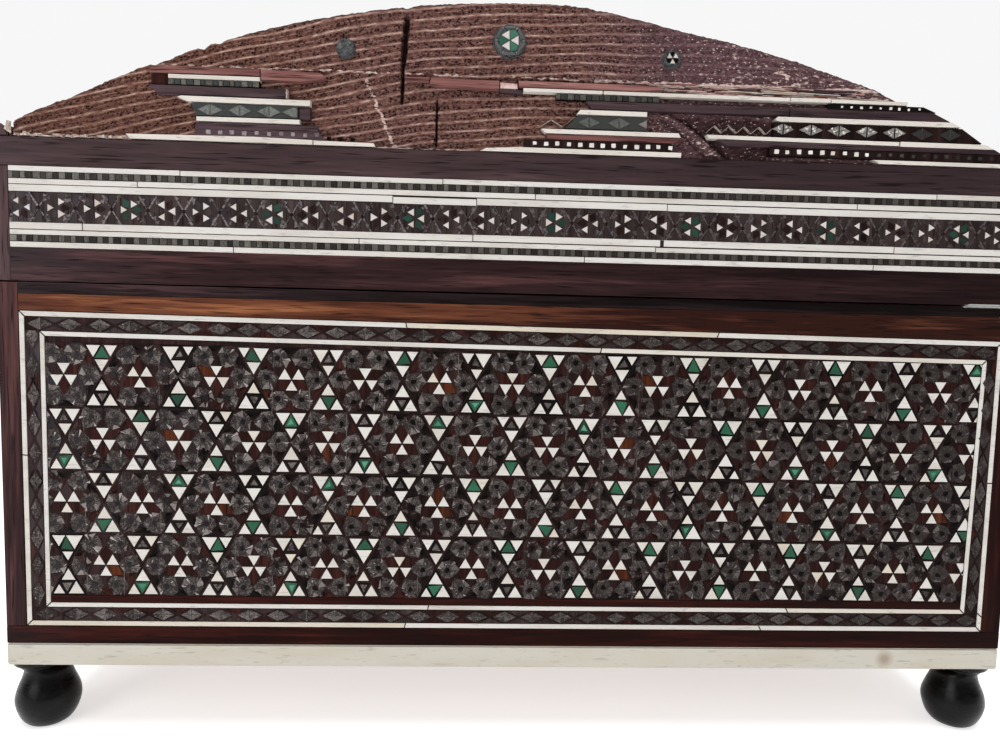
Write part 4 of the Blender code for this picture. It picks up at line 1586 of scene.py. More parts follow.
@dataclass
class BaseInlay:
    """The veneer, the double frame and the mosaic on one side of the base."""

    name: str
    face: Face
    half: float
    seed: int
    corners: Outline
    rich: bool = False
    mosaic: bool = True
    band: float = BAND
    top: float = SEAM - 0.1

    def build(self) -> None:
        """Lays the veneers, then the frame and what it holds."""
        sheet = TileSheet(self.name, self.face, self.seed)
        self.veneers(sheet)
        breaks = (((0.383, 0.76), (0.052, 0.52), (0.3, 0.62), (0.45,)), ((0.403, 0.8), (), (0.42,), ()))
        ring = Stringing(self.corners, 1.13).lay(sheet, breaks[0])
        ring = lozenge_frame(sheet, ring, self.band, self.rich)
        if self.rich:
            # The back upright of the inner frame was set leaning outwards.
            ring[2] = (ring[2][0] + 0.75, ring[2][1] - 0.01)
        ring = Stringing(ring, 1.06).lay(sheet, breaks[1])
        self.inside(sheet, ring)
        piece = sheet.build()
        deliver(piece, "base")

    def veneers(self, sheet: TileSheet) -> None:
        """The rosewood rails and stiles round the frame.

        Args:
            sheet: where they are laid.
        """
        (left, low), (right, _), (_, high_right), (_, high_left) = self.corners
        edge = self.half - 0.03
        rail, red, stile = RAIL[self.face.grain], RED_RAIL[self.face.grain], PURPLE_RAIL[Grain.HEIGHT]
        foot = 4.45
        sheet.strip(quad(-edge, edge, foot, low - 0.05), rail, tilt=0.02, tone=0.5)
        # On the left end the groove for the hinge's barrel lies at the face's other side.
        mirrored = self.face is LEFT_END
        high = GROOVE_FOOT if mirrored else self.top
        sheet.lay(quad(-edge, left, low - 0.05, high), stile, tilt=0.02, tone=0.6)
        # The frame leans over this stile, which therefore lies a hair below its lines.
        under = {"tilt": 0.0, "top": -0.09}
        groove = GROOVE if self.rich else edge
        sheet.lay(quad(right, groove, low - 0.05, self.top), RAIL[Grain.HEIGHT], **under)
        if self.rich:
            # The groove for the hinge's barrel takes the top of the stile.
            sheet.lay(quad(groove, edge, low - 0.05, GROOVE_FOOT), RAIL[Grain.HEIGHT], **under)
        level = min(72.8, self.top)
        start = -GROOVE if mirrored else left
        over = [(left, high_left), (right, high_right), (right, level), (start, level)]
        sheet.strip(over, red, tilt=0.02)
        if self.rich:
            # The joint opens a little towards the back.
            handled = [(left, level), (LEAF_EDGE, level), (LEAF_EDGE, self.top - 0.3), (left, self.top)]
            for outline in (handled, quad(LEAF_EDGE, right, level, self.top - 0.35)):
                sheet.lay(outline, EDGE_RAIL, tone=0.5, tilt=0.0, joint=0.0, soften=0.01)
            glinting_leaf_end(sheet, -1, LEAF_EDGE + 1.6, right)
        elif self.top > level:
            sheet.lay(quad(start, right, level, self.top), rail, tone=0.2, tilt=0.02)

    def inside(self, sheet: TileSheet, ring: Outline) -> None:
        """The mosaic, with its red sill and dark lintel, or a plain rosewood panel.

        Args:
            sheet: where it is laid.
            ring: the corners of the inner frame's inner edge.
        """
        (left, low), (right, _), (_, high_right), (_, high_left) = ring
        if not self.mosaic:
            sheet.strip(ring, RED_RAIL[self.face.grain], (0.27, 0.5, 0.73), tilt=0.02)
            return
        sill = low + 1.4
        sheet.strip(quad(left, right, low, sill), RAIL[self.face.grain], (0.34, 0.7), tone=0.9)
        top = TOP_ROW + FLOWER_SIDE * math.sqrt(3) / 2 + 0.03
        lintel = quad(left, right, top, max(high_left, high_right))
        sheet.lay(cut(lintel, (right, high_right), (left, high_left)), PLATE, tilt=0.02)
        wide = max(right, ring[2][0])
        first = (left + 3.36, TOP_ROW)
        FlowerField(sheet, left, wide, sill, high_left, high_right, first, rich=self.rich).lay()


@dataclass
class LidInlay:
    """The dark rails and the inlaid band on one side of the lid.

    Attributes:
        name: the piece's name.
        face: the side it lies on.
        half: half of the side's width.
        seed: for its small differences.
        rich: whether it has all the broken and leaning pieces of the right end.
        mosaic: whether the band holds rosettes and dots, or plain rosewood.
        green_at: where a rosette with a green ground stands; every fourth one has it.
        low: where the lowest rail begins.
        high: where the upper rail ends.
    """

    name: str
    face: Face
    half: float
    seed: int
    rich: bool = False
    mosaic: bool = True
    green_at: float = -75.1
    low: float = SEAM + 0.1
    high: float = LUNETTE_FOOT - 0.15

    def build(self) -> None:
        """Lays the rails, the lines, the dots and the rosettes."""
        sheet = TileSheet(self.name, self.face, self.seed)
        rail, upright = PURPLE_RAIL[self.face.grain], GREY_SHEEN_RAIL[Grain.HEIGHT]
        edge = self.half - 0.03
        left, right = -edge, edge
        if self.rich:
            left, right = -97.3, edge
            sheet.lay(quad(-edge, left, self.low, 96.4), upright, tone=0.8, tilt=0.02)
            # The groove for the hinge's barrel takes the foot of the rail.
            steps = ((left, self.low), (LEAF_EDGE, self.low + 0.25), (GROOVE, GROOVE_HEAD), (edge, 0.0))
            for (start, low), (end, _) in zip(steps, steps[1:]):
                piece = quad(start, end, low, RAIL_TOP)
                sheet.lay(piece, rail, tone=0.3, tilt=0.0, joint=0.0, soften=0.01)
            glinting_leaf_end(sheet, 1, LEAF_EDGE + 1.2, GROOVE)
            tip = [(-99.95, 101.9), (-97.3, 101.9), (-97.6, 103.6), (-98.3, 104.1), (-99.95, 103.7)]
            sheet.lay(tip, GREY_SHEEN_RAIL[Grain.HEIGHT], tone=1.0, top=-0.1)
            chip = [(-97.9, 103.0), (-96.5, 102.2), (-96.4, 104.5), (-97.3, 104.7)]
            sheet.lay(chip, CRUST, top=0.0, soften=0.2)
        elif self.low < 81:
            start = -GROOVE if self.face is LEFT_END else left
            sheet.strip(quad(start, right, self.low, RAIL_TOP), rail, tone=0.45, tilt=0.02)
            if start > left:
                sheet.lay(quad(left, start, GROOVE_HEAD, RAIL_TOP), rail, tone=0.45, tilt=0.02)
        # The upper rail, in rosewood greyed with painted sheen.
        sheet.strip(quad(-edge, edge, 96.45, self.high), GREY_SHEEN_RAIL[self.face.grain], tone=0.5, tilt=0.02)
        for low, high, breaks, steps in self.lines():
            at = [left, *(left + (right - left) * share for share in breaks), right]
            for start, end, step in zip(at, at[1:], steps):
                piece = quad(start, end, low + step, high + step)
                tone = sheet.chance.uniform(0.0, 0.5)
                sheet.lay(piece, BONE, joint=0.05, soften=0.06, tilt=0.05, tone=tone)
        if self.rich:
            # One bone line lost a short piece, which dark filler replaced.
            sheet.lay(quad(25.8, 26.6, 84.8, 86.1), DARK_STICK, top=0.0, joint=0.0, tone=0.2)
        for low, high in ((82.5, 83.75), (94.18, 95.45)):
            if self.mosaic:
                dot_row(sheet, left, right, low, high, DOT_STICK, DARK_STICK)
            else:
                sheet.strip(quad(left, right, low, high), EBONY, (0.3, 0.6), tilt=0.02)
        if self.mosaic:
            RosetteBand(sheet, left, right, 86.0, 91.7, self.green_at).lay()
        else:
            sheet.strip(quad(left, right, 86.0, 91.7), RED_RAIL[self.face.grain], (0.5,), tilt=0.02)
        deliver(sheet.build(), "lid")

    def lines(self) -> list[tuple[float, float, Sequence[float], Sequence[float]]]:
        """Gives the six bone lines, where each is pieced and how far its pieces are set up or down.

        Returns:
            The lower edge, the upper edge, the joints and the steps of each line.
        """
        return [
            (81.34, 82.5, (0.21, 0.55, 0.84), (0, 0, 0, 0)),
            (83.72, 84.74, (0.33, 0.62), (0, 0, -0.06)),
            (84.76, 86.12, (0.068, 0.44, 0.86), (0, 0, 0.05, 0)),
            (91.62, 92.98, (0.362, 0.443, 0.63), (0.08, -0.12, 0.05, 0.0)),
            (93.06, 94.16, (0.12, 0.5, 0.82), (0, 0.04, 0, 0)),
            (95.42, 96.5, (0.16, 0.41, 0.9), (0, -0.05, 0, 0.04)),
        ]


# A stick of horn and tin cut across: the grey-green cells of the dotted rows.
DOT_STICK = Alloy(name="horn_and_tin_stick", dull="#302c29", bright="#807d76", metal=0.1)
# The same stick's dark horn: dull brown-black cells.
DARK_STICK = Alloy(name="dark_horn_stick", dull="#171412", bright="#4d4843", metal=0.05)
# Bone dots, rubbed through: the bright cells that are left on the broken gable.
BRIGHT_DOT = Bone(name="rubbed_bone_dot", clean="#dedad4", aged_and_shaded="#b9b2a6", oldest=0.3)


# ---------------------------------------------------------------- the broken gable


@dataclass
class BrokenGable:
    """The right gable: its lower rail is a plain block under the veneer, its arch is bare and weathered."""

    columns: int = 660
    rows: int = 112
    rim_rows: int = 9
    half: float = 96.7
    plane: float = HALF_LENGTH - VENEER
    back: float = HALF_LENGTH - 12.8
    values: dict[str, list[float]] = field(default_factory=dict)

    def build(self) -> None:
        """Makes the weathered arch and the block under it as one piece."""
        name = "lid_right_gable_board"
        points: list[tuple[float, float, float]] = []
        faces: list[tuple[int, ...]] = []
        self.values = {key: [] for key in ("line", "painted_shade", "crust", "cool")}
        for column in range(self.columns + 1):
            y = -self.half + 2 * self.half * column / self.columns
            points += self.column(y)
        stride = self.rows + 1 + self.rim_rows + 1
        for column in range(self.columns):
            for row in range(stride - 1):
                first = column * stride + row
                faces.append((first, first + stride, first + stride + 1, first + 1))
            first = column * stride
            faces.append((first + stride - 1, first + 2 * stride - 1, first + stride, first))
        for first, turn in ((0, 1), (self.columns * stride, -1)):
            faces.append(tuple(range(first, first + stride))[::turn])
        arch_faces = len(faces)
        start = len(points)
        block = (
            (self.back, HALF_LENGTH - 0.14),
            (-self.half, self.half),
            (SEAM + 0.15, LUNETTE_FOOT - 0.1),
        )
        for x in block[0]:
            for y in block[1]:
                for up in block[2]:
                    points.append((x * MM, y * MM, (up + UNDERSIDE) * MM))
        for ring in ((0, 1, 3, 2), (4, 6, 7, 5), (0, 4, 5, 1), (2, 3, 7, 6), (0, 2, 6, 4), (1, 5, 7, 3)):
            faces.append(tuple(start + corner for corner in ring))
        mesh = bpy.data.meshes.new(name)
        mesh.from_pydata(points, [], faces)
        mesh.materials.append(BROKEN.material())
        mesh.materials.append(MASTIC.material())
        mesh.polygons.foreach_set("material_index", [0] * arch_faces + [1] * 6)
        for key, numbers in self.values.items():
            numbers += [0.0] * 8
            mesh.attributes.new(key, "FLOAT", "POINT").data.foreach_set("value", numbers)
        mesh.polygons.foreach_set("use_smooth", [True] * arch_faces + [False] * 6)
        mesh.update()
        mesh.set_sharp_from_angle(angle=math.radians(55))
        deliver(add_object(name, mesh), "lid", ["lid_right_gable"])

    def column(self, y: float) -> list[tuple[float, float, float]]:
        """Makes one upright row of points, up the front and back over the rim.

        Args:
            y: its place along the board.

        Returns:
            The points in metres.
        """
        top = self.arch(y)
        points = []
        foot = LUNETTE_FOOT - 0.1
        for row in range(self.rows + 1):
            up = foot + (top - foot) * (row / self.rows)
            out = self.relief(y, up, top)
            points.append(((self.plane + out) * MM, y * MM, (up + UNDERSIDE) * MM))
        for row in range(self.rim_rows):
            share = (row + 1) / self.rim_rows
            x = self.plane - 0.5 + (self.back - self.plane + 0.5) * share
            rough = noise.noise(Vector((x / 1.1, y / 1.7, 9.1)))
            up = top - 0.12 - 0.25 * abs(rough) * min(1, 3 * share)
            points.append((x * MM, y * MM, (up + UNDERSIDE) * MM))
            # Painted shade in the rim's low places.
            self.note(up / 1.93 + rough, 0.3 * max(0.0, -rough), 0.0, 0.4)
        points.append((self.back * MM, y * MM, (foot + UNDERSIDE) * MM))
        self.note(0.0, 0.0, 0.0, 0.0)
        return points

    def note(self, line: float, painted_shade: float, crust: float, cool: float) -> None:
        """Keeps one point's values for the finish.

        Args:
            line: the ridge it lies on.
            painted_shade: how dark it is painted, as painted shade in cracks, low places and under the
                curled layer.
            crust: how much dried glue it has.
            cool: how far it has weathered to grey.
        """
        self.values["line"].append(line)
        for key, value in zip(("painted_shade", "crust", "cool"), (painted_shade, crust, cool)):
            self.values[key].append(min(1.0, max(0.0, value)))

    def arch(self, y: float) -> float:
        """Gives the worn arch's height: lower towards the back, chipped, and notched over the crack.

        Args:
            y: the place along the board.

        Returns:
            The height in mm.
        """
        round_top = ARCH_CENTRE + math.sqrt(ARCH_RADIUS**2 - y * y)
        worn = 0.35 + 1.85 * ease(y, 6, 32)
        worn += 0.55 * dent(y, -61.7, 0.8) + 0.5 * dent(y, -58.6, 0.7) + 0.2 * dent(y, -23.6, 0.9)
        worn -= 0.45 * ease(y, 56, 70)
        worn += 0.5 * ease(y, -71.4, -70.6) * (1 - ease(y, -70.4, -62))
        spot = Vector((y / 2.2, 4.1, 0.0))
        worn += 0.22 * noise.noise(spot) + 0.16 * noise.noise(spot * 3.7)
        # At the very front a ridge of the board still stands up beside the lost veneer.
        return round_top - max(0.05, worn) + 1.25 * (1 - ease(y, -96.7, -84.0))

    def relief(self, y: float, up: float, top: float) -> float:
        """Tells how far a point of the bare board stands out from its mean plane.

        Args:
            y: its place along the board.
            up: its height.
            top: the arch's height there.

        Returns:
            The height in mm. The values for the finish are kept too.
        """
        slope = 0.25 * 14 * math.log1p(math.exp(-(y + 20) / 14)) - 0.012 * y
        warp = noise.noise(Vector((y / 17, up / 7, 1.3)))
        lift = up + slope + 0.9 * warp + 0.1 * noise.noise(Vector((y / 2.1, up / 0.8, 5.5)))
        line = lift / 1.93
        phase = line - math.floor(line)
        smooth = ease(y, 4, 32)
        wander = noise.noise(Vector((y / 4.0, math.floor(line) * 3.1, 7.7)))
        ridge = (0.6 + 0.4 * wander) * dent(phase, 0.76, 0.15) + 0.25 * dent(phase, 0.3, 0.12)
        grit = noise.noise(Vector((y / 0.9, up / 0.55, 3.3)))
        torn = self.torn(y, up)
        crust = self.crust(y, up, top, grit) * (1 - 0.8 * torn)
        out = 0.22 * ridge * (1 - 0.65 * smooth) + 0.12 * grit + 0.16 * warp + 0.08 * crust
        crack = self.crack(y, up) * (1 - 0.85 * ease(up, top - 2.4, top - 1.1))
        out -= 1.5 * crack
        out -= 0.45 * dent(top - up, 0.0, 0.3)
        # The board is of two layers: under the split line the lower one lies deeper.
        out -= 0.4 * (1 - ease(up, 115.5, 115.75)) * ease(y, -52, -46)
        # Painted shade: the cracks, the lower front corner, the low grit and the rounded top edge are
        # darkened in colour.
        shade = 0.16 * (1 - ease(y, -80, -45)) * (1 - ease(up, 106, 113))
        painted_shade = max(crack, shade + 0.3 * max(0.0, -grit), 0.5 * dent(up, top, 0.25))
        cool = 0.25 * ease(y, -70, -20) + 0.75 * smooth
        cool *= 1 - 0.5 * dent(y, 4, 16) * dent(up, 106, 6)
        if torn > 0:
            fibre = noise.noise(Vector(((y + up) / 3.2, (y * 0.5 - up) / 0.42, 8.1)))
            bend = 26.2 + 10.5 * max(0.0, (109.6 - up) / 7.6) ** 0.8
            fold = dent(y, bend, 1.25) * ease(up, 101.5, 102.4)
            under = dent(y, bend + 2.1, 0.7) + 0.7 * dent(y, bend - 2.0, 0.4)
            beyond = ease(y, bend + 1.6, bend + 2.6)
            lifted = 0.2 + 0.8 * fold + 0.3 * fibre - 0.5 * under - 0.35 * beyond
            out += torn * lifted
            line += torn * (1.2 * fibre + 0.5 * fold)
            # Painted shadow under the curled layer, and a darker patch beyond it.
            shade = under + beyond * (0.62 + 0.5 * fibre) + 0.3 * max(0.0, -fibre)
            painted_shade = max(painted_shade, torn * min(0.92, shade))
            crust = max(crust, torn * (1 - beyond) * (0.3 + 0.35 * fold) * max(0.0, 0.6 + fibre))
            cool = max(cool, torn)
        self.note(line, painted_shade, crust, cool)
        return max(-1.9, min(1.1, out)) - 0.05

    def torn(self, y: float, up: float) -> float:
        """Tells how far a point lies in the torn patch, where a split layer curls off the board.

        Args:
            y: its place along the board.
            up: its height.

        Returns:
            From 0 outside the patch to 1 inside it.
        """
        ragged = 1.3 * noise.noise(Vector((y / 2.4, up / 1.3, 14.2)))
        along = ease(y + ragged, 23.5, 25.5) * (1 - ease(y + ragged, 46.0, 48.0))
        return along * ease(up + 0.4 * ragged, 101.6, 102.6) * (1 - ease(up + 0.5 * ragged, 109.4, 110.4))

    def crack(self, y: float, up: float) -> float:
        """Tells how far a point lies inside one of the two cracks.

        Args:
            y: the place along the board.
            up: its height.

        Returns:
            From 0 to 1.
        """
        wander = 0.25 * noise.noise(Vector((up / 2.5, 8.8, 0.0)))
        first = -24.55 + 0.9 * ease(up, 112, 130) + wander
        wide = 0.15 + 0.27 * ease(up, 117, 118.5)
        inside = (1 - ease(abs(y - first), wide, wide + 0.2)) * ease(up, 110.2, 110.9)
        second = -17.9 + wander
        thin = (1 - ease(abs(y - second), 0.1, 0.26)) * ease(up, 102.4, 103) * (1 - ease(up, 111, 111.8))
        return max(inside, 0.85 * thin)

    def crust(self, y: float, up: float, top: float, grit: float) -> float:
        """Tells how much dried glue lies at a point.

        Args:
            y: the place along the board.
            up: its height.
            top: the arch's height there.
            grit: the fine roughness there.

        Returns:
            From 0 to 1.
        """
        wave = 0.25 * noise.noise(Vector((y / 6, 2.2, 0.0)))
        seam = dent(up, 116.0 + 0.5 * wave, 0.24) * (0.75 + 0.6 * grit)
        seam *= 1 - 0.3 * ease(y, -16, -8) * (1 - ease(y, 22, 26))
        seam *= ease(y, -72, -69) * (1 - ease(y, 66, 70))
        foot = dent(up, 102.3 + wave * 0.9 + 0.3 * grit, 0.42) * ease(y, -99, -96) * (1 - ease(y, -34, -31))
        foot += dent(up, 102.15, 0.25) * ease(y, -32, -29) * (1 - ease(y, -12, -9))
        drip = -25.8 - 4.6 * ((up - 102) / 10.5) + 0.9 * noise.noise(Vector((up / 1.6, 5.1, 0)))
        slash = dent(y, drip, 0.42) * ease(up, 101.9, 102.4) * (1 - ease(up, 115, 115.6))
        streak = noise.noise(Vector((y / 5.5, up / 0.42, 4.4)))
        flaky = dent(up, 115.0, 1.1) * ease(y, 22, 30) * (1 - ease(y, 66, 74)) * (0.75 + 1.5 * streak)
        flaky += 0.6 * dent(up, 115.9, 0.5) * ease(y, -2, 4) * (1 - ease(y, 20, 28))
        chips = 0.35 * ease(grit, 0.1, 0.6) * (0.35 + ease(y, 5, 60))
        total = 0.85 * seam + 0.8 * foot + 0.75 * slash + 0.36 * flaky + chips + 0.2 * ease(y, 10, 50)
        return max(0.0, min(1.0, total)) * (1 - 0.6 * ease(up, top - 0.6, top))


def ease(value: float, start: float, end: float) -> float:
    """A smooth step from 0 at start to 1 at end."""
    share = min(1.0, max(0.0, (value - start) / (end - start)))
    return share * share * (3 - 2 * share)


def dent(value: float, middle: float, reach: float) -> float:
    """A smooth bump of height 1 at the middle."""
    return math.exp(-(((value - middle) / reach) ** 2))


class Remnant:
    """A part of the lost veneer: broken strips that still stand on the bare board."""

    def __init__(self, node: str, seed: int) -> None:
        """Starts the remnant that stands in for a CAD node."""
        self.node = node
        self.sheet = TileSheet(f"{node}_strips", RIGHT_END, seed, VENEER + 0.25)

    def build(self) -> None:
        """Lays the strips and stands them in for the node."""
        self.strips()
        deliver(self.sheet.build(), "lid", [self.node])

    def strips(self) -> None:
        """Lays the strips. Each remnant has its own."""
        raise NotImplementedError

    def slab(self, outline: Outline, finish: Finish, top: float = -0.04, **more: float) -> None:
        """A strip as thick as the veneer was."""
        self.sheet.lay(outline, finish, top=top, joint=0.03, soften=0.08, tilt=0.2, **more)

    def line(self, left: float, right: float, low: float, high: float, *marks: float) -> None:
        """A bone line, pieced at those places.

        Args:
            left: where it begins.
            right: where it ends.
            low: its lower edge.
            high: its upper edge.
            marks: where it is pieced.
        """
        ends = [left, *marks, right]
        for start, end in zip(ends, ends[1:]):
            self.slab(quad(start, end, low, high), OLD_BONE)

    def dots(self, left: float, right: float, low: float, high: float, finish: Finish) -> None:
        """A row of dots on a dark strip."""
        self.slab(quad(left, right, low, high), EBONY, top=-0.14)
        dot_row(self.sheet, left, right, low, high, finish, HORN_ROW, foot=-0.3)

    def beads(self, marks: Iterable[float], up: float, finish: Finish, size: float) -> None:
        """Single rounded dots whose dark neighbours stand a little lower.

        Args:
            marks: their places.
            up: their height.
            finish: what they are made of.
            size: half of a bead's width.
        """
        chance = self.sheet.chance
        for mark in marks:
            half = size * chance.uniform(0.85, 1.05)
            spot = (mark + chance.uniform(-0.12, 0.12), up + chance.uniform(-0.1, 0.1))
            turns = (35, 55, 125, 145, 215, 235, 305, 325)
            shape = [around(spot, half * chance.uniform(0.92, 1.12), turn) for turn in turns]
            squeezed = [(x, up + (y - up) * 0.92) for x, y in shape]
            tone = chance.uniform(0.0, 0.8)
            self.sheet.lay(squeezed, finish, top=-0.02, foot=-0.4, joint=0.0, soften=0.17, tone=tone)

    def lozenge(self, at: float, up: float, finish: Finish, bright: bool = False) -> None:
        """One lozenge with its cross line.

        Args:
            at: its middle.
            up: its middle's height.
            finish: what it is made of.
            bright: whether it is rubbed back to speckled bright metal.
        """
        chance = self.sheet.chance
        reach, rise = 2.35 * chance.uniform(0.92, 1.05), 1.12
        mark = {"foot": -0.1, "joint": 0.0, "soften": 0.02}
        for turn in (1, -1):
            near = at + turn * 0.05
            part = [(near, up - rise), (at + turn * reach, up), (near, up + rise)]
            outline = part if turn > 0 else part[::-1]
            self.sheet.lay(outline, finish, foot=-0.3, tone=chance.uniform(0.35, 0.7))
            for _ in range(4 if bright else 0):
                spot = (at + turn * chance.uniform(0.3, 1.4), up + chance.uniform(-0.45, 0.45))
                chip = regular(spot, chance.uniform(0.22, 0.42), 3, chance.uniform(0, 120))
                self.sheet.lay(chip, BRIGHT_DOT, top=-0.015, foot=-0.1, joint=0.0, soften=0.03)
            if bright:
                ends = (at + turn * 0.15, up - 0.15), (at + turn * 1.5, up + 0.5 * turn)
                self.sheet.bar(*ends, 0.12, EBONY, top=-0.01, **mark)
        line = quad(at - 0.08, at + 0.08, up - rise, up + rise)
        self.sheet.lay(line, EBONY if bright else TIN, top=-0.01, tone=0.1, **mark)


class FrontRemnant(Remnant):
    """The remnant towards the front, stepped back on both sides."""

    def strips(self) -> None:
        """Lays the strips from the top downwards, then the flakes in front of them."""
        red, dark = RED_VENEER, DARK_VENEER
        self.slab([(-71.4, 114.15), (-50.8, 114.15), (-50.8, 115.6), (-70.9, 115.6)], red, tone=0.55)
        ragged = [(-50.8, 113.5), (-43.4, 113.4), (-38.4, 114.2), (-39.6, 115.3), (-50.8, 115.6)]
        self.slab(ragged, red, tone=0.8)
        self.slab(quad(-71.0, -67.8, 112.1, 114.12), RED_TILE, tone=0.8, top=-0.3)
        self.line(-67.8, -50.8, 113.2, 114.12)
        self.dots(-67.8, -50.8, 112.15, 113.18, DOT_STICK)
        long_dark = [(-69.9, 110.4), (-46.3, 110.3), (-45.9, 112.05), (-71.7, 112.1)]
        self.slab(long_dark, dark, tone=0.95)
        self.slab(quad(-46.2, -45.75, 110.3, 112.1), CRUST, top=-0.1)
        point = [(-64.2, 109.1), (-41.5, 109.0), (-41.4, 110.2), (-65.4, 110.28), (-66.4, 109.95)]
        self.slab(point, OLD_BONE, tone=0.3)
        row = [(-62.7, 106.65), (-43.7, 106.6), (-43.7, 109.0), (-63.9, 109.0)]
        self.slab(row, HORN_ROW, top=-0.14)
        for at in (-60.1, -54.6, -49.2):
            self.lozenge(at, 107.8, HORN_LOZENGE)
        half_left = [(-46.9, 107.8), (-44.6, 106.8), (-43.9, 107.0), (-43.9, 108.6), (-44.6, 108.8)]
        self.sheet.lay(half_left, HORN_LOZENGE, foot=-0.3, tone=0.4)
        self.slab(quad(-43.65, -41.5, 106.5, 108.95), dark, tone=0.3, top=-0.2)
        self.line(-62.7, -43.4, 105.6, 106.6)
        base = [(-63.2, 102.75), (-38.6, 102.75), (-39.9, 104.4), (-40.2, 105.55), (-62.8, 105.55)]
        self.slab(base, dark, tone=0.85, top=-0.12)
        self.beads([-60.5 + 2.25 * n for n in range(10)], 103.75, DULL_BEAD, 0.66)
        self.beads([-38.2, -36.1, -33.7], 103.2, EBONY, 0.5)
        foot = [(-75.9, 103.0), (-74.9, 101.95), (-41.0, 101.9), (-41.0, 102.95), (-52.0, 103.2)]
        self.slab(foot, OLD_BONE, tone=0.6)
        foot = [(-41.0, 101.9), (-29.2, 101.9), (-29.6, 102.75), (-41.0, 102.9)]
        self.slab(foot, OLD_BONE, tone=0.4)
        chance = self.sheet.chance
        at = -96.4
        while at < -76.5:
            wide = chance.uniform(0.8, 2.6)
            high = chance.uniform(102.1, 102.85)
            tip = at + wide * chance.uniform(0.5, 0.9)
            flake = [(at, 101.9), (at + wide, 101.9), (tip, high), (at + 0.15, 102.2)]
            self.sheet.lay(flake, CRUST, top=chance.uniform(-0.5, -0.15), joint=0.02, soften=0.1)
            at += wide * chance.uniform(0.9, 1.4)


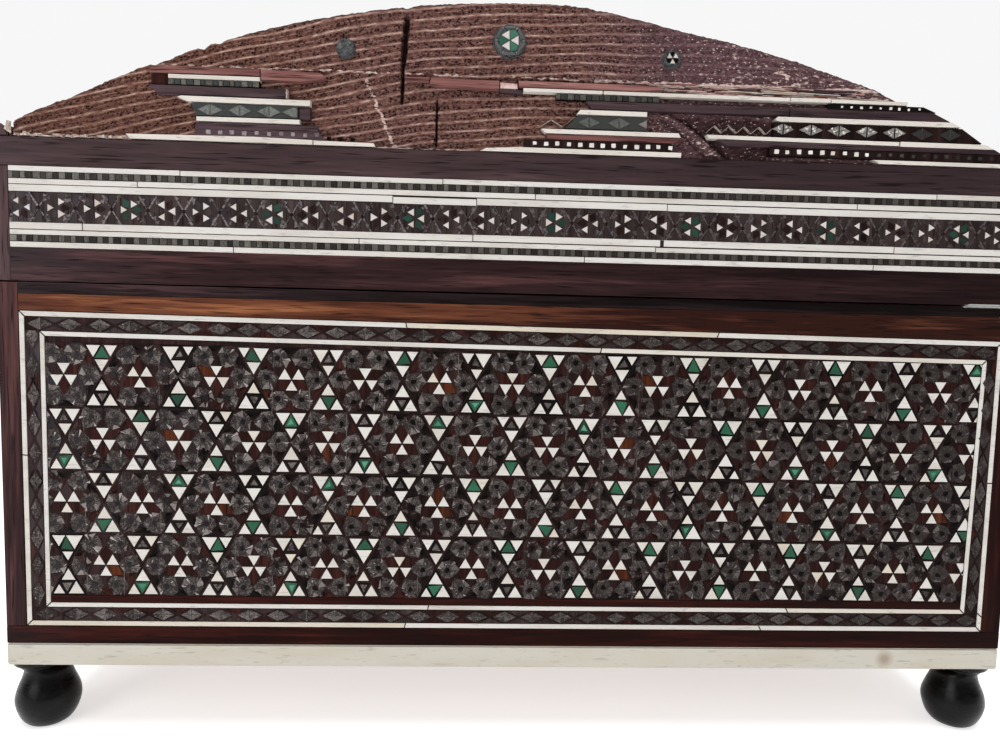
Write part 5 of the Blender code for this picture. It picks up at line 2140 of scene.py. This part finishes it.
class BackRemnant(Remnant):
    """The long remnant from the middle to the back."""

    def strips(self) -> None:
        """Lays the strips from the front backwards."""
        self.middle()
        self.splinters()
        self.right()

    def middle(self) -> None:
        """The remnant in the middle, up to the torn patch."""
        red, dark = RED_VENEER, DARK_VENEER
        thin = [(-24.0, 114.6), (-19.4, 114.5), (-19.0, 115.25), (-24.0, 115.2)]
        self.slab(thin, red, tone=0.7)
        first = [(-19.4, 114.0), (-18.2, 113.5), (-6.0, 113.35), (-6.0, 115.1), (-19.0, 115.2)]
        self.slab(first, red, tone=0.9)
        self.slab([(-6.0, 113.6), (-2.5, 113.6), (-2.6, 114.7), (-6.0, 114.9)], PINK, top=-0.3)
        self.slab([(-6.0, 112.9), (-1.7, 112.7), (-1.6, 113.6), (-6.0, 113.6)], dark, top=-0.35)
        long_red = [(-2.5, 113.95), (24.6, 113.95), (25.7, 114.5), (24.0, 115.2), (-2.5, 115.25)]
        self.slab(long_red, red, tone=0.95)
        self.line(-1.6, 50.0, 113.1, 113.95, 13.7)
        self.slab(quad(50.0, 58.0, 113.1, 114.0), OLD_BONE, tone=0.6)
        self.line(58.0, 73.2, 113.1, 113.95)
        self.dots(4.7, 24.6, 112.0, 113.08, DOT_STICK)
        self.slab([(11.5, 110.4), (50.0, 110.4), (50.0, 112.0), (10.4, 112.0)], dark, tone=0.75)
        self.slab([(8.6, 109.3), (22.4, 109.25), (22.4, 110.3), (9.4, 110.32)], OLD_BONE, tone=0.2)
        self.slab([(6.4, 106.65), (22.5, 106.6), (22.5, 109.2), (9.0, 109.2)], HORN_ROW, top=-0.14)
        for at in (11.2, 17.0):
            self.lozenge(at, 107.9, HORN_LOZENGE)
        self.sheet.lay([(20.6, 107.9), (22.4, 107.0), (22.4, 108.8)], TIN, foot=-0.3, tone=0.8)
        self.slab([(2.9, 105.55), (29.2, 105.55), (28.6, 106.55), (1.9, 106.55)], OLD_BONE)
        brown = [(3.2, 104.55), (27.4, 104.55), (30.2, 105.5), (2.8, 105.5)]
        self.slab(brown, red, tone=0.6, top=-0.1)
        self.slab(quad(-1.2, 27.4, 102.85, 104.5), PLATE, top=-0.14)
        self.beads([0.9 + 2.18 * n for n in range(13)], 103.7, BRIGHT_DOT, 0.66)
        foot = [(-9.6, 101.95), (29.4, 101.9), (29.4, 102.8), (-2.0, 102.85), (-8.4, 102.5)]
        self.slab(foot, OLD_BONE, tone=0.3)
        zigzag = [(34.2 + 1.45 * index, 107.0 + 1.3 * (index % 2)) for index in range(10)]
        for start, end in zip(zigzag, zigzag[1:]):
            self.sheet.bar(start, end, 0.16, CRUST, top=-0.55, soften=0.03)
        scratch = ((2.2, 107.2), (4.0, 108.4), (6.2, 107.1), (8.6, 109.0))
        for start, end in zip(scratch, scratch[1:]):
            self.sheet.bar(start, end, 0.18, CRUST, top=-0.7, soften=0.03)

    def splinters(self) -> None:
        """The torn fibres above the long bone line, thin and nearly level."""
        chance = self.sheet.chance
        for _ in range(150):
            start = (chance.uniform(22.0, 62.0), 114.05 + 2.0 * chance.random() ** 1.5)
            end = (start[0] + chance.uniform(1.5, 9.0), start[1] + chance.uniform(-0.3, 0.1))
            rim = ARCH_CENTRE + math.sqrt(ARCH_RADIUS**2 - end[0] ** 2) - 2.6
            kind = chance.choice((PINK, PINK, OLD_BONE, OLD_BONE, RED_VENEER, DARK_VENEER))
            wide, top = chance.uniform(0.1, 0.26), chance.uniform(-1.1, -0.7)
            if end[1] < rim:
                self.sheet.bar(start, end, wide, kind, top=top, soften=0.05, joint=0.0)

    def right(self) -> None:
        """The remnant towards the back, which still reaches the arch."""
        dark = DARK_VENEER
        self.slab([(50.0, 110.4), (82.0, 110.35), (76.4, 112.9), (50.0, 112.0)], dark, tone=0.3)
        self.slab([(57.0, 111.9), (79.0, 112.0), (76.4, 113.0), (57.5, 113.05)], EBONY, top=-0.02)
        self.beads([60.2 + 1.9 * n for n in range(9)], 112.5, BRIGHT_DOT, 0.52)
        upper = [(47.6, 110.25), (47.1, 109.6), (48.2, 109.35), (84.2, 109.4), (82.4, 110.3)]
        self.slab(upper, OLD_BONE, tone=0.1)
        self.slab([(47.0, 106.45), (88.9, 106.4), (84.4, 109.3), (47.0, 109.3)], PLATE, top=-0.16)
        for index in range(5):
            self.lozenge(48.9 + 5.5 * index, 107.95, BRIGHT_LOZENGE, True)
        for at in (76.4, 82.0):
            self.lozenge(at, 107.9, HORN_ROW)
        self.slab([(34.4, 105.6), (72.0, 105.4), (72.0, 106.35), (33.9, 106.5)], OLD_BONE, tone=0.2)
        self.slab([(72.1, 105.4), (91.3, 105.4), (89.4, 106.3), (72.1, 106.35)], OLD_BONE, tone=0.2)
        self.slab([(38.0, 104.5), (92.9, 104.5), (91.3, 105.38), (36.0, 105.4)], dark, tone=0.6)
        self.slab([(46.5, 102.85), (95.6, 102.85), (93.2, 104.5), (46.5, 104.5)], PLATE, top=-0.15)
        self.beads([47.8 + 2.25 * n for n in range(9)], 103.7, BRIGHT_DOT, 0.66)
        self.beads([68.2 + 2.25 * n for n in range(4)], 103.7, DOT_STICK, 0.6)
        self.beads([77.2 + 2.25 * n for n in range(7)], 103.7, HORN_ROW, 0.62)
        self.slab([(68.2, 101.9), (96.4, 101.85), (95.4, 102.8), (66.7, 102.8)], OLD_BONE, tone=0.2)


# Buried rosewood, dry and unpolished: the dull red-brown strips on the broken gable.
DARK_VENEER = wood(
    "dusty_rosewood_strip", Grain.DEPTH, "#2a1e22", "#463639", "#63505a", rough=0.75, gloss=0.1
)
# Bone that lay under glue and dust: the beige lines on the broken gable.
OLD_BONE = Bone(name="grimy_bone_line", clean="#d0c9c1", aged_and_shaded="#cdb98c", vein="#a99f92", canals=0.45)
RED_VENEER = wood("dry_rosewood_strip", Grain.DEPTH, "#4b2c2b", "#784f4b", "#a1766f", rough=0.7, gloss=0.1)
# A fresh split where the red strip has flaked: the one pinkish patch.
PINK = Matt(name="fresh_split_rosewood", low="#a37b78", high="#cdb3ae", size=1.0)
# Horn and pewter under grime: the grey-green ground of the lozenge row.
HORN_ROW = Alloy(name="grimy_horn_row", dull="#232625", bright="#4c504d", metal=0.1, rough=0.55)
# Lozenges of paler horn in it, hatched by the saw.
HORN_LOZENGE = Alloy(name="pale_horn_lozenge", dull="#474a48", bright="#868983", metal=0.1, spread=0.3)
# Dull beads of the front remnant: horn and tin, dusty mauve.
DULL_BEAD = Alloy(name="dusty_tin_bead", dull="#554b4f", bright="#b3a8a9", metal=0.1)
# Lozenges rubbed back to bright tin.
BRIGHT_LOZENGE = Alloy(name="rubbed_tin_lozenge", dull="#8b8986", bright="#d8d4ce", metal=0.15, spread=0.4)


@dataclass
class Stud:
    """A round inlaid boss on the bare gable: a dark disc with a small picture of tiles.

    Attributes:
        node: the CAD node it replaces.
        middle: its place on the gable.
        radius: its disc's radius.
        flower: whether it has the large stud's ring and green flower.
        whites: how many white triangles it keeps.
    """

    node: str
    middle: Point
    radius: float
    flower: bool = False
    whites: int = 3

    def build(self) -> None:
        """Lays the disc and its tiles."""
        sheet = TileSheet(f"{self.node}_boss", RIGHT_END, 60 + int(self.middle[1]), VENEER + 0.3)
        disc = regular(self.middle, self.radius, 40)
        sheet.lay(disc, STUD_BLACK, top=-0.22, joint=0.0, soften=0.35, tilt=0.0)
        if self.flower:
            self.ring(sheet)
        turn = -28 if self.flower else 2
        size = 1.95 if self.flower else 1.2
        for sector in range(self.whites):
            start = turn + 120 * sector
            white = rays(self.middle, (0, 0), (size, start), (size, start + 60))
            sheet.lay(white, DUSTY_BONE, top=-0.06, foot=-0.5, joint=0.04, tone=0.3)
            round_side = ((size, start + 60), (size * 1.12, start + 90), (size, start + 120))
            rest = rays(self.middle, (0, 0), *round_side)
            sheet.lay(rest, DUSTY_GREEN if self.flower else EBONY, top=-0.08, foot=-0.5, joint=0.03)
        for index in range(0 if self.flower else 11):
            spot = around(self.middle, sheet.chance.uniform(0.3, 1.45), sheet.chance.uniform(20, 200))
            speck = regular(spot, sheet.chance.uniform(0.2, 0.42), 5, 13 * index)
            sheet.lay(speck, TIN if self.whites else HORN_LOZENGE, top=-0.1, foot=-0.5, joint=0.02)
        deliver(sheet.build(), "lid", [self.node])

    def ring(self, sheet: TileSheet) -> None:
        """Pewter blocks and bone corners round the green flower.

        Args:
            sheet: where it is laid.
        """
        for index in range(6):
            start = 60 * index
            sides = ((2.3, start + 7), (3.0, start + 5), (3.0, start + 55), (2.3, start + 53))
            tone = sheet.chance.uniform(0.2, 0.7)
            block = rays(self.middle, *sides)
            sheet.lay(block, HORN_LOZENGE, top=-0.1, foot=-0.5, joint=0.03, tone=tone)
            corner = rays(self.middle, (2.15, start), (2.8, start - 6), (2.8, start + 6))
            sheet.lay(corner, TIN, top=-0.07, foot=-0.5, joint=0.02, tone=sheet.chance.uniform(0.4, 1))


# Black paste and pewter under the studs' tiles.
STUD_BLACK = Matt(name="black_paste_disc", low="#2b2d2e", high="#58595b", size=0.5, rough=0.5)


# ---------------------------------------------------------------- dome, plinth, feet and hinge


@dataclass
class Dome:
    """The arched panel's veneer: a framed rosewood field, as on the sides but without a mosaic."""

    half: float = HALF_LENGTH - 13.35
    reach: float = 100.6
    margin: float = 7.5  # from the panel's edge to the frame

    def build(self) -> None:
        """Lays the border, the double frame and the field over the arch."""
        ArchedBoard("lid_dome_panel", "lid", None, CARCASS_LONG).build()
        sheet = TileSheet("lid_dome_veneer", DomeFace(), 71, 0.14)
        edge = quad(-self.half, self.half, -self.reach, self.reach)
        frame_edge = inset(edge, self.margin)
        self.border(sheet, edge, frame_edge)
        ring = Stringing(frame_edge, 1.15).lay(sheet, ((0.3, 0.6), (0.5,), (0.4, 0.8), (0.45,)))
        ring = lozenge_frame(sheet, ring, BAND, rich=False)
        ring = Stringing(ring, 1.1).lay(sheet, ((0.45,), (), (0.55,), ()))
        sheet.strip(ring, RED_RAIL[Grain.LENGTH], (0.25, 0.5, 0.75), tilt=0.0)
        deliver(sheet.build(), "lid")

    def border(self, sheet: TileSheet, edge: Outline, frame_edge: Outline) -> None:
        """Four mitred rosewood strips along the edges.

        Args:
            sheet: where they are laid.
            edge: the panel's corners.
            frame_edge: the corners of the frame's outer edge.
        """
        for side in range(4):
            after = (side + 1) % 4
            outline = [edge[side], edge[after], frame_edge[after], frame_edge[side]]
            grain = Grain.LENGTH if side % 2 == 0 else Grain.DEPTH
            sheet.strip(outline, RAIL[grain], tilt=0.0)


@dataclass
class Foot:
    """A turned bun foot: a thin flange, a cove, a squat bulb and a small sole."""

    name: str
    middle: Point
    steps: int = 64
    height: float = UNDERSIDE - 0.3

    def profile(self) -> list[Point]:
        """Gives (radius, height) from the flange's middle to the sole's middle.

        Returns:
            The points from top to bottom.
        """
        top = self.height
        points = [(0.0, top), (5.0, top), (5.15, top - 0.15), (5.15, top - 2.0), (5.0, top - 2.2)]
        for step in range(1, 7):
            angle = math.radians(90) * step / 6
            points.append((5.0 - 0.7 * math.sin(angle), top - 2.2 - 0.8 * (1 - math.cos(angle))))
        for step in range(1, 15):
            share = step / 14
            swell = (1 - math.cos(math.pi * share)) / 2
            points.append((4.3 + 1.9 * swell, top - 3.0 - 7.1 * share))
        low = top - 10.1
        for step in range(1, 13):
            angle = math.radians(90) * step / 12
            points.append((3.2 + 3.0 * math.cos(angle), low * (1 - math.sin(angle) ** 1.35)))
        return [*points[:-1], (3.2, 0.0), (0.0, 0.0)]

    def build(self) -> None:
        """Turns the profile, a little out of round as on a pole lathe."""
        shape = bmesh.new()
        rings = []
        profile = self.profile()
        for radius, height in profile[1:-1]:
            ring = []
            # The flange was turned on a second centre, a little nearer the box's long side.
            aside = math.copysign(1.3, self.middle[1]) * ease(height, self.height - 3.6, self.height - 2.6)
            for step in range(self.steps):
                turn = 2 * math.pi * step / self.steps
                spot = Vector((math.cos(turn) * 1.3 + self.middle[0], math.sin(turn) * 1.3, height / 3))
                uneven = 1 - 0.012 * (1 + noise.noise(spot))
                x = self.middle[0] + radius * uneven * math.cos(turn)
                y = self.middle[1] + aside + radius * uneven * math.sin(turn)
                ring.append(shape.verts.new((x * MM, y * MM, height * MM)))
            rings.append(ring)
        for upper, lower in zip(rings, rings[1:]):
            for step in range(self.steps):
                after = (step + 1) % self.steps
                shape.faces.new((upper[step], lower[step], lower[after], upper[after]))
        shape.faces.new(rings[0])
        shape.faces.new(rings[-1][::-1])
        piece = made_from(shape, f"{self.name}_turned", SHELLAC)
        piece.data.shade_smooth()
        piece.data.set_sharp_from_angle(angle=math.radians(50))
        deliver(piece, "base", [self.name])


@dataclass
class Hinge:
    """The long steel strip hinge: the CAD leaves and pin, with countersunk screws in the leaves."""

    screws: int = 7
    pitch: float = 44.0  # from screw to screw
    reach: float = 6.4  # from the pin to the screws
    leaf: float = 0.1  # from the seam's middle to each leaf's face

    def build(self) -> None:
        """Finishes the CAD pieces and sets the screws."""
        for node in ("hinge_base_leaf", "hinge_lid_leaf", "hinge_pin"):
            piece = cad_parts[node]
            piece.data.materials.clear()
            piece.data.materials.append(STEEL.material())
        self.row("base", -1)
        self.row("lid", 1)

    def row(self, body: str, side: int) -> None:
        """One row of slotted screw heads on one leaf.

        Args:
            body: the body the leaf is on.
            side: -1 for the base and 1 for the lid.
        """
        shape = bmesh.new()
        low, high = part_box("hinge_pin")
        axis = [(a + b) / 2 for a, b in zip(low, high)]
        level = axis[2] + side * (self.leaf + 0.02) * MM
        for index in range(self.screws):
            x = (index - (self.screws - 1) / 2) * self.pitch * MM
            y = axis[1] - self.reach * MM
            turn = 0.7 * index + side
            for half in (1, -1):
                outline = []
                for step in range(15):
                    angle = math.radians(6 + 168 * step / 14) + (math.pi if half < 0 else 0)
                    outline.append((1.5 * math.cos(angle), 1.5 * math.sin(angle)))
                verts = []
                for px, py in outline:
                    ax = px * math.cos(turn) - py * math.sin(turn)
                    ay = px * math.sin(turn) + py * math.cos(turn)
                    verts.append(shape.verts.new((x + ax * MM, y + ay * MM, level)))
                feet = [shape.verts.new(v.co + Vector((0, 0, side * 0.2 * MM))) for v in verts]
                shape.faces.new(verts)
                for step in range(len(verts)):
                    after = (step + 1) % len(verts)
                    shape.faces.new((verts[step], feet[step], feet[after], verts[after]))
        bmesh.ops.recalc_face_normals(shape, faces=shape.faces)
        deliver(made_from(shape, f"hinge_{body}_screws", STEEL), body)


# ---------------------------------------------------------------- the whole box


class Box:
    """The box: base, lid, feet and hinge."""

    def build(self) -> None:
        """Builds each sub-assembly in order, from the floor up."""
        self.feet()
        self.plinth()
        self.base()
        self.lid()
        self.whole_lunette()
        self.broken_end()
        Dome().build()
        Hinge().build()

    def feet(self) -> None:
        """The four feet, where the CAD feet stand."""
        for name in ("foot_front_left", "foot_front_right", "foot_back_left", "foot_back_right"):
            low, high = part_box(name)
            Foot(name, ((low[0] + high[0]) / 2 / MM, (low[1] + high[1]) / 2 / MM)).build()

    def plinth(self) -> None:
        """The floor and the bone strips round it."""
        Board("floor_board", "base", None, CARCASS_LONG).build()
        for side in ("front", "back", "left", "right"):
            finish = STAINED_STRIP if side == "right" else BONE_STRIP
            Board(f"plinth_{side}_strip", "base", None, finish, soften=0.25).build()

    def base(self) -> None:
        """The base's four boards and their inlay."""
        for side, outward, wood_of in (
            ("front", -AXIS_Y, CARCASS_LONG),
            ("back", AXIS_Y, CARCASS_LONG),
            ("left", -AXIS_X, CARCASS),
            ("right", AXIS_X, CARCASS),
        ):
            Board(f"base_{side}_board", "base", outward, wood_of).build()
        measured = [(-96.1, 8.0), (96.0, 8.0), (96.0, 68.03), (-96.1, 69.58)]
        BaseInlay("base_right_inlay", RIGHT_END, HALF_DEPTH, 11, measured, rich=True).build()
        even = quad(-96.1, 96.1, 8.0, 69.4)
        BaseInlay("base_left_inlay", LEFT_END, HALF_DEPTH, 12, even).build()
        wide = quad(-LONG_EDGE, LONG_EDGE, 8.0, 69.4)
        # On the long side the lid's veneer hangs a hair lower, which closes the seam to the light.
        BaseInlay("base_front_inlay", FRONT, HALF_LENGTH, 13, wide, top=SEAM - 0.26).build()
        low = quad(-LONG_EDGE, LONG_EDGE, 8.0, 67.6)
        BaseInlay("base_back_inlay", BACK, HALF_LENGTH, 14, low, mosaic=False, top=SEAM - 3.6).build()

    def lid(self) -> None:
        """The lid's boards and their inlay."""
        Board("lid_front_board", "lid", -AXIS_Y, CARCASS_LONG).build()
        Board("lid_back_board", "lid", AXIS_Y, CARCASS_LONG).build()
        Board("lid_left_gable", "lid", -AXIS_X).build()
        LidInlay("lid_right_inlay", RIGHT_END, HALF_DEPTH, 21, rich=True).build()
        LidInlay("lid_left_inlay", LEFT_END, HALF_DEPTH, 22).build()
        top = 119.39 - UNDERSIDE - 0.3
        LidInlay("lid_front_inlay", FRONT, HALF_LENGTH, 23, low=SEAM - 0.22, high=top).build()
        LidInlay("lid_back_inlay", BACK, HALF_LENGTH, 24, mosaic=False, low=SEAM + 3.6, high=top).build()

    def whole_lunette(self) -> None:
        """The left gable's arch, whose veneer is complete: the strips that the right one has lost."""
        sheet = TileSheet("lid_left_lunette_inlay", LEFT_END, 25)
        dark, red = PURPLE_RAIL[Grain.DEPTH], RED_RAIL[Grain.DEPTH]

        def chord(up: float) -> float:
            """Half of the arch's width at that height."""
            return math.sqrt(ARCH_RADIUS**2 - (up - ARCH_CENTRE) ** 2) - 0.3

        def course(low: float, high: float, finish: Finish, breaks: Sequence[float] = ()) -> None:
            """One strip from side to side of the arch.

            Args:
                low: its lower edge.
                high: its upper edge.
                finish: what it is made of.
                breaks: where it is pieced.
            """
            wide, narrow = min(chord(low), 96.6), min(chord(high), 96.6)
            outline = [(-wide, low), (wide, low), (narrow, high), (-narrow, high)]
            sheet.strip(outline, finish, breaks, tilt=0.02)

        for low, high, breaks in (
            (101.9, 102.8, (0.3, 0.72)),
            (105.5, 106.5, (0.44,)),
            (109.35, 110.3, (0.2, 0.66)),
            (113.1, 113.95, (0.5,)),
        ):
            course(low, high, BONE, breaks)
        course(104.5, 105.5, dark)
        course(110.3, 112.0, dark, (0.37,))
        course(113.95, 115.5, red, (0.6,))
        dot_row(sheet, -chord(104.5), chord(104.5), 102.8, 104.5, DOT_STICK, DARK_STICK)
        dot_row(sheet, -chord(113.1), chord(113.1), 112.0, 113.1, DOT_STICK, DARK_STICK)
        reach = chord(109.35)
        LozengeBand((-reach, 107.93), (reach, 107.93), 2.85, rich=False).lay(sheet)
        steps = [chord(115.5) * (1 - 2 * step / 40) for step in range(41)]
        arch = [(y, ARCH_CENTRE + math.sqrt((ARCH_RADIUS - 0.25) ** 2 - y * y)) for y in steps]
        sheet.lay([(arch[-1][0], 115.5), (arch[0][0], 115.5), *arch[1:-1]], dark, tilt=0.02, tone=0.4)
        deliver(sheet.build(), "lid")

    def broken_end(self) -> None:
        """The bare gable with its remnants and studs."""
        BrokenGable().build()
        FrontRemnant("veneer_remnant_front", 41).build()
        BackRemnant("veneer_remnant_back", 43).build()
        Stud("stud_small_front", (-35.1, 120.1), 1.95, whites=0).build()
        Stud("stud_large", (-4.3, 122.5), 3.3, flower=True).build()
        Stud("stud_small_back", (26.8, 120.4), 1.95).build()


# ---------------------------------------------------------------- stage


@dataclass
class Stage:
    """A pale floor, soft studio light and the camera."""

    eye: tuple[float, float, float] = (291.0, -10.8, 86.6)  # in mm above the ground
    heading: float = 2.42  # degrees from -X towards +Y
    pitch: float = -4.70
    roll: float = 1.41
    lens: float = 27.04
    lit: tuple[float, float, float] = (0.05, 0.0, 0.08)  # what the lamps face, in metres

    def build(self) -> None:
        """Sets the floor, the world, the lamps and the camera."""
        self.floor()
        self.world()
        self.lamp("key_softbox", (0.92, -0.62, 0.46), 0.6, 3.6)
        self.lamp("fill_softbox", (0.7, 0.55, 1.05), 0.8, 1.2)
        self.lamp("top_softbox", (0.42, 0.0, 1.4), 0.9, 13.0)
        self.camera()
        bpy.context.scene.view_settings.view_transform = "Standard"

    def floor(self) -> None:
        """A broad disc of pale plaster."""
        shape = bmesh.new()
        bmesh.ops.create_circle(shape, cap_ends=True, segments=96, radius=4.0)
        piece = made_from(shape, "studio_floor", FLOOR)

    def world(self) -> None:
        """A pale surround: nearly white to the camera, dimmer as a light."""
        world = bpy.data.worlds.new("pale_surround")
        bpy.context.scene.world = world
        nodes = Shading(world, "Background")
        seen = nodes.add("LightPath", out="Is Camera Ray")
        nodes.set(Color=(1.0, 1.0, 1.0, 1.0), Strength=nodes.add("MapRange", (seen, 0.0, 1.0, 0.25, 0.93)))

    def lamp(self, name: str, place: tuple[float, float, float], size: float, power: float) -> None:
        """A square softbox that faces the box.

        Args:
            name: the lamp's name.
            place: where it stands, in metres.
            size: its width in metres.
            power: its power in watts.
        """
        light = bpy.data.lights.new(name, "AREA")
        light.size = size
        light.energy = power
        lamp = bpy.data.objects.new(name, light)
        bpy.context.scene.collection.objects.link(lamp)
        lamp.location = place
        aim = Vector(self.lit) - Vector(place)
        lamp.rotation_euler = aim.to_track_quat("-Z", "Y").to_euler()

    def camera(self) -> None:
        """The camera, close in front of the right end."""
        data = bpy.data.cameras.new("camera")
        data.lens = self.lens
        data.sensor_width = 36.0
        data.clip_start = 0.01
        camera = bpy.data.objects.new("camera", data)
        bpy.context.scene.collection.objects.link(camera)
        turn, dip = math.radians(self.heading), math.radians(self.pitch)
        ahead = Vector((-math.cos(turn) * math.cos(dip), math.sin(turn) * math.cos(dip), math.sin(dip)))
        rotation = ahead.to_track_quat("-Z", "Y").to_matrix().to_4x4()
        rolled = rotation @ Matrix.Rotation(math.radians(self.roll), 4, "Z")
        camera.matrix_world = Matrix.Translation(Vector(self.eye) * MM) @ rolled
        bpy.context.scene.camera = camera


def main() -> None:
    """Builds the box and its stage."""
    logging.basicConfig(level=logging.INFO, format="%(name)s: %(message)s")
    Box().build()
    Stage().build()


if __name__ == "__main__":
    main()
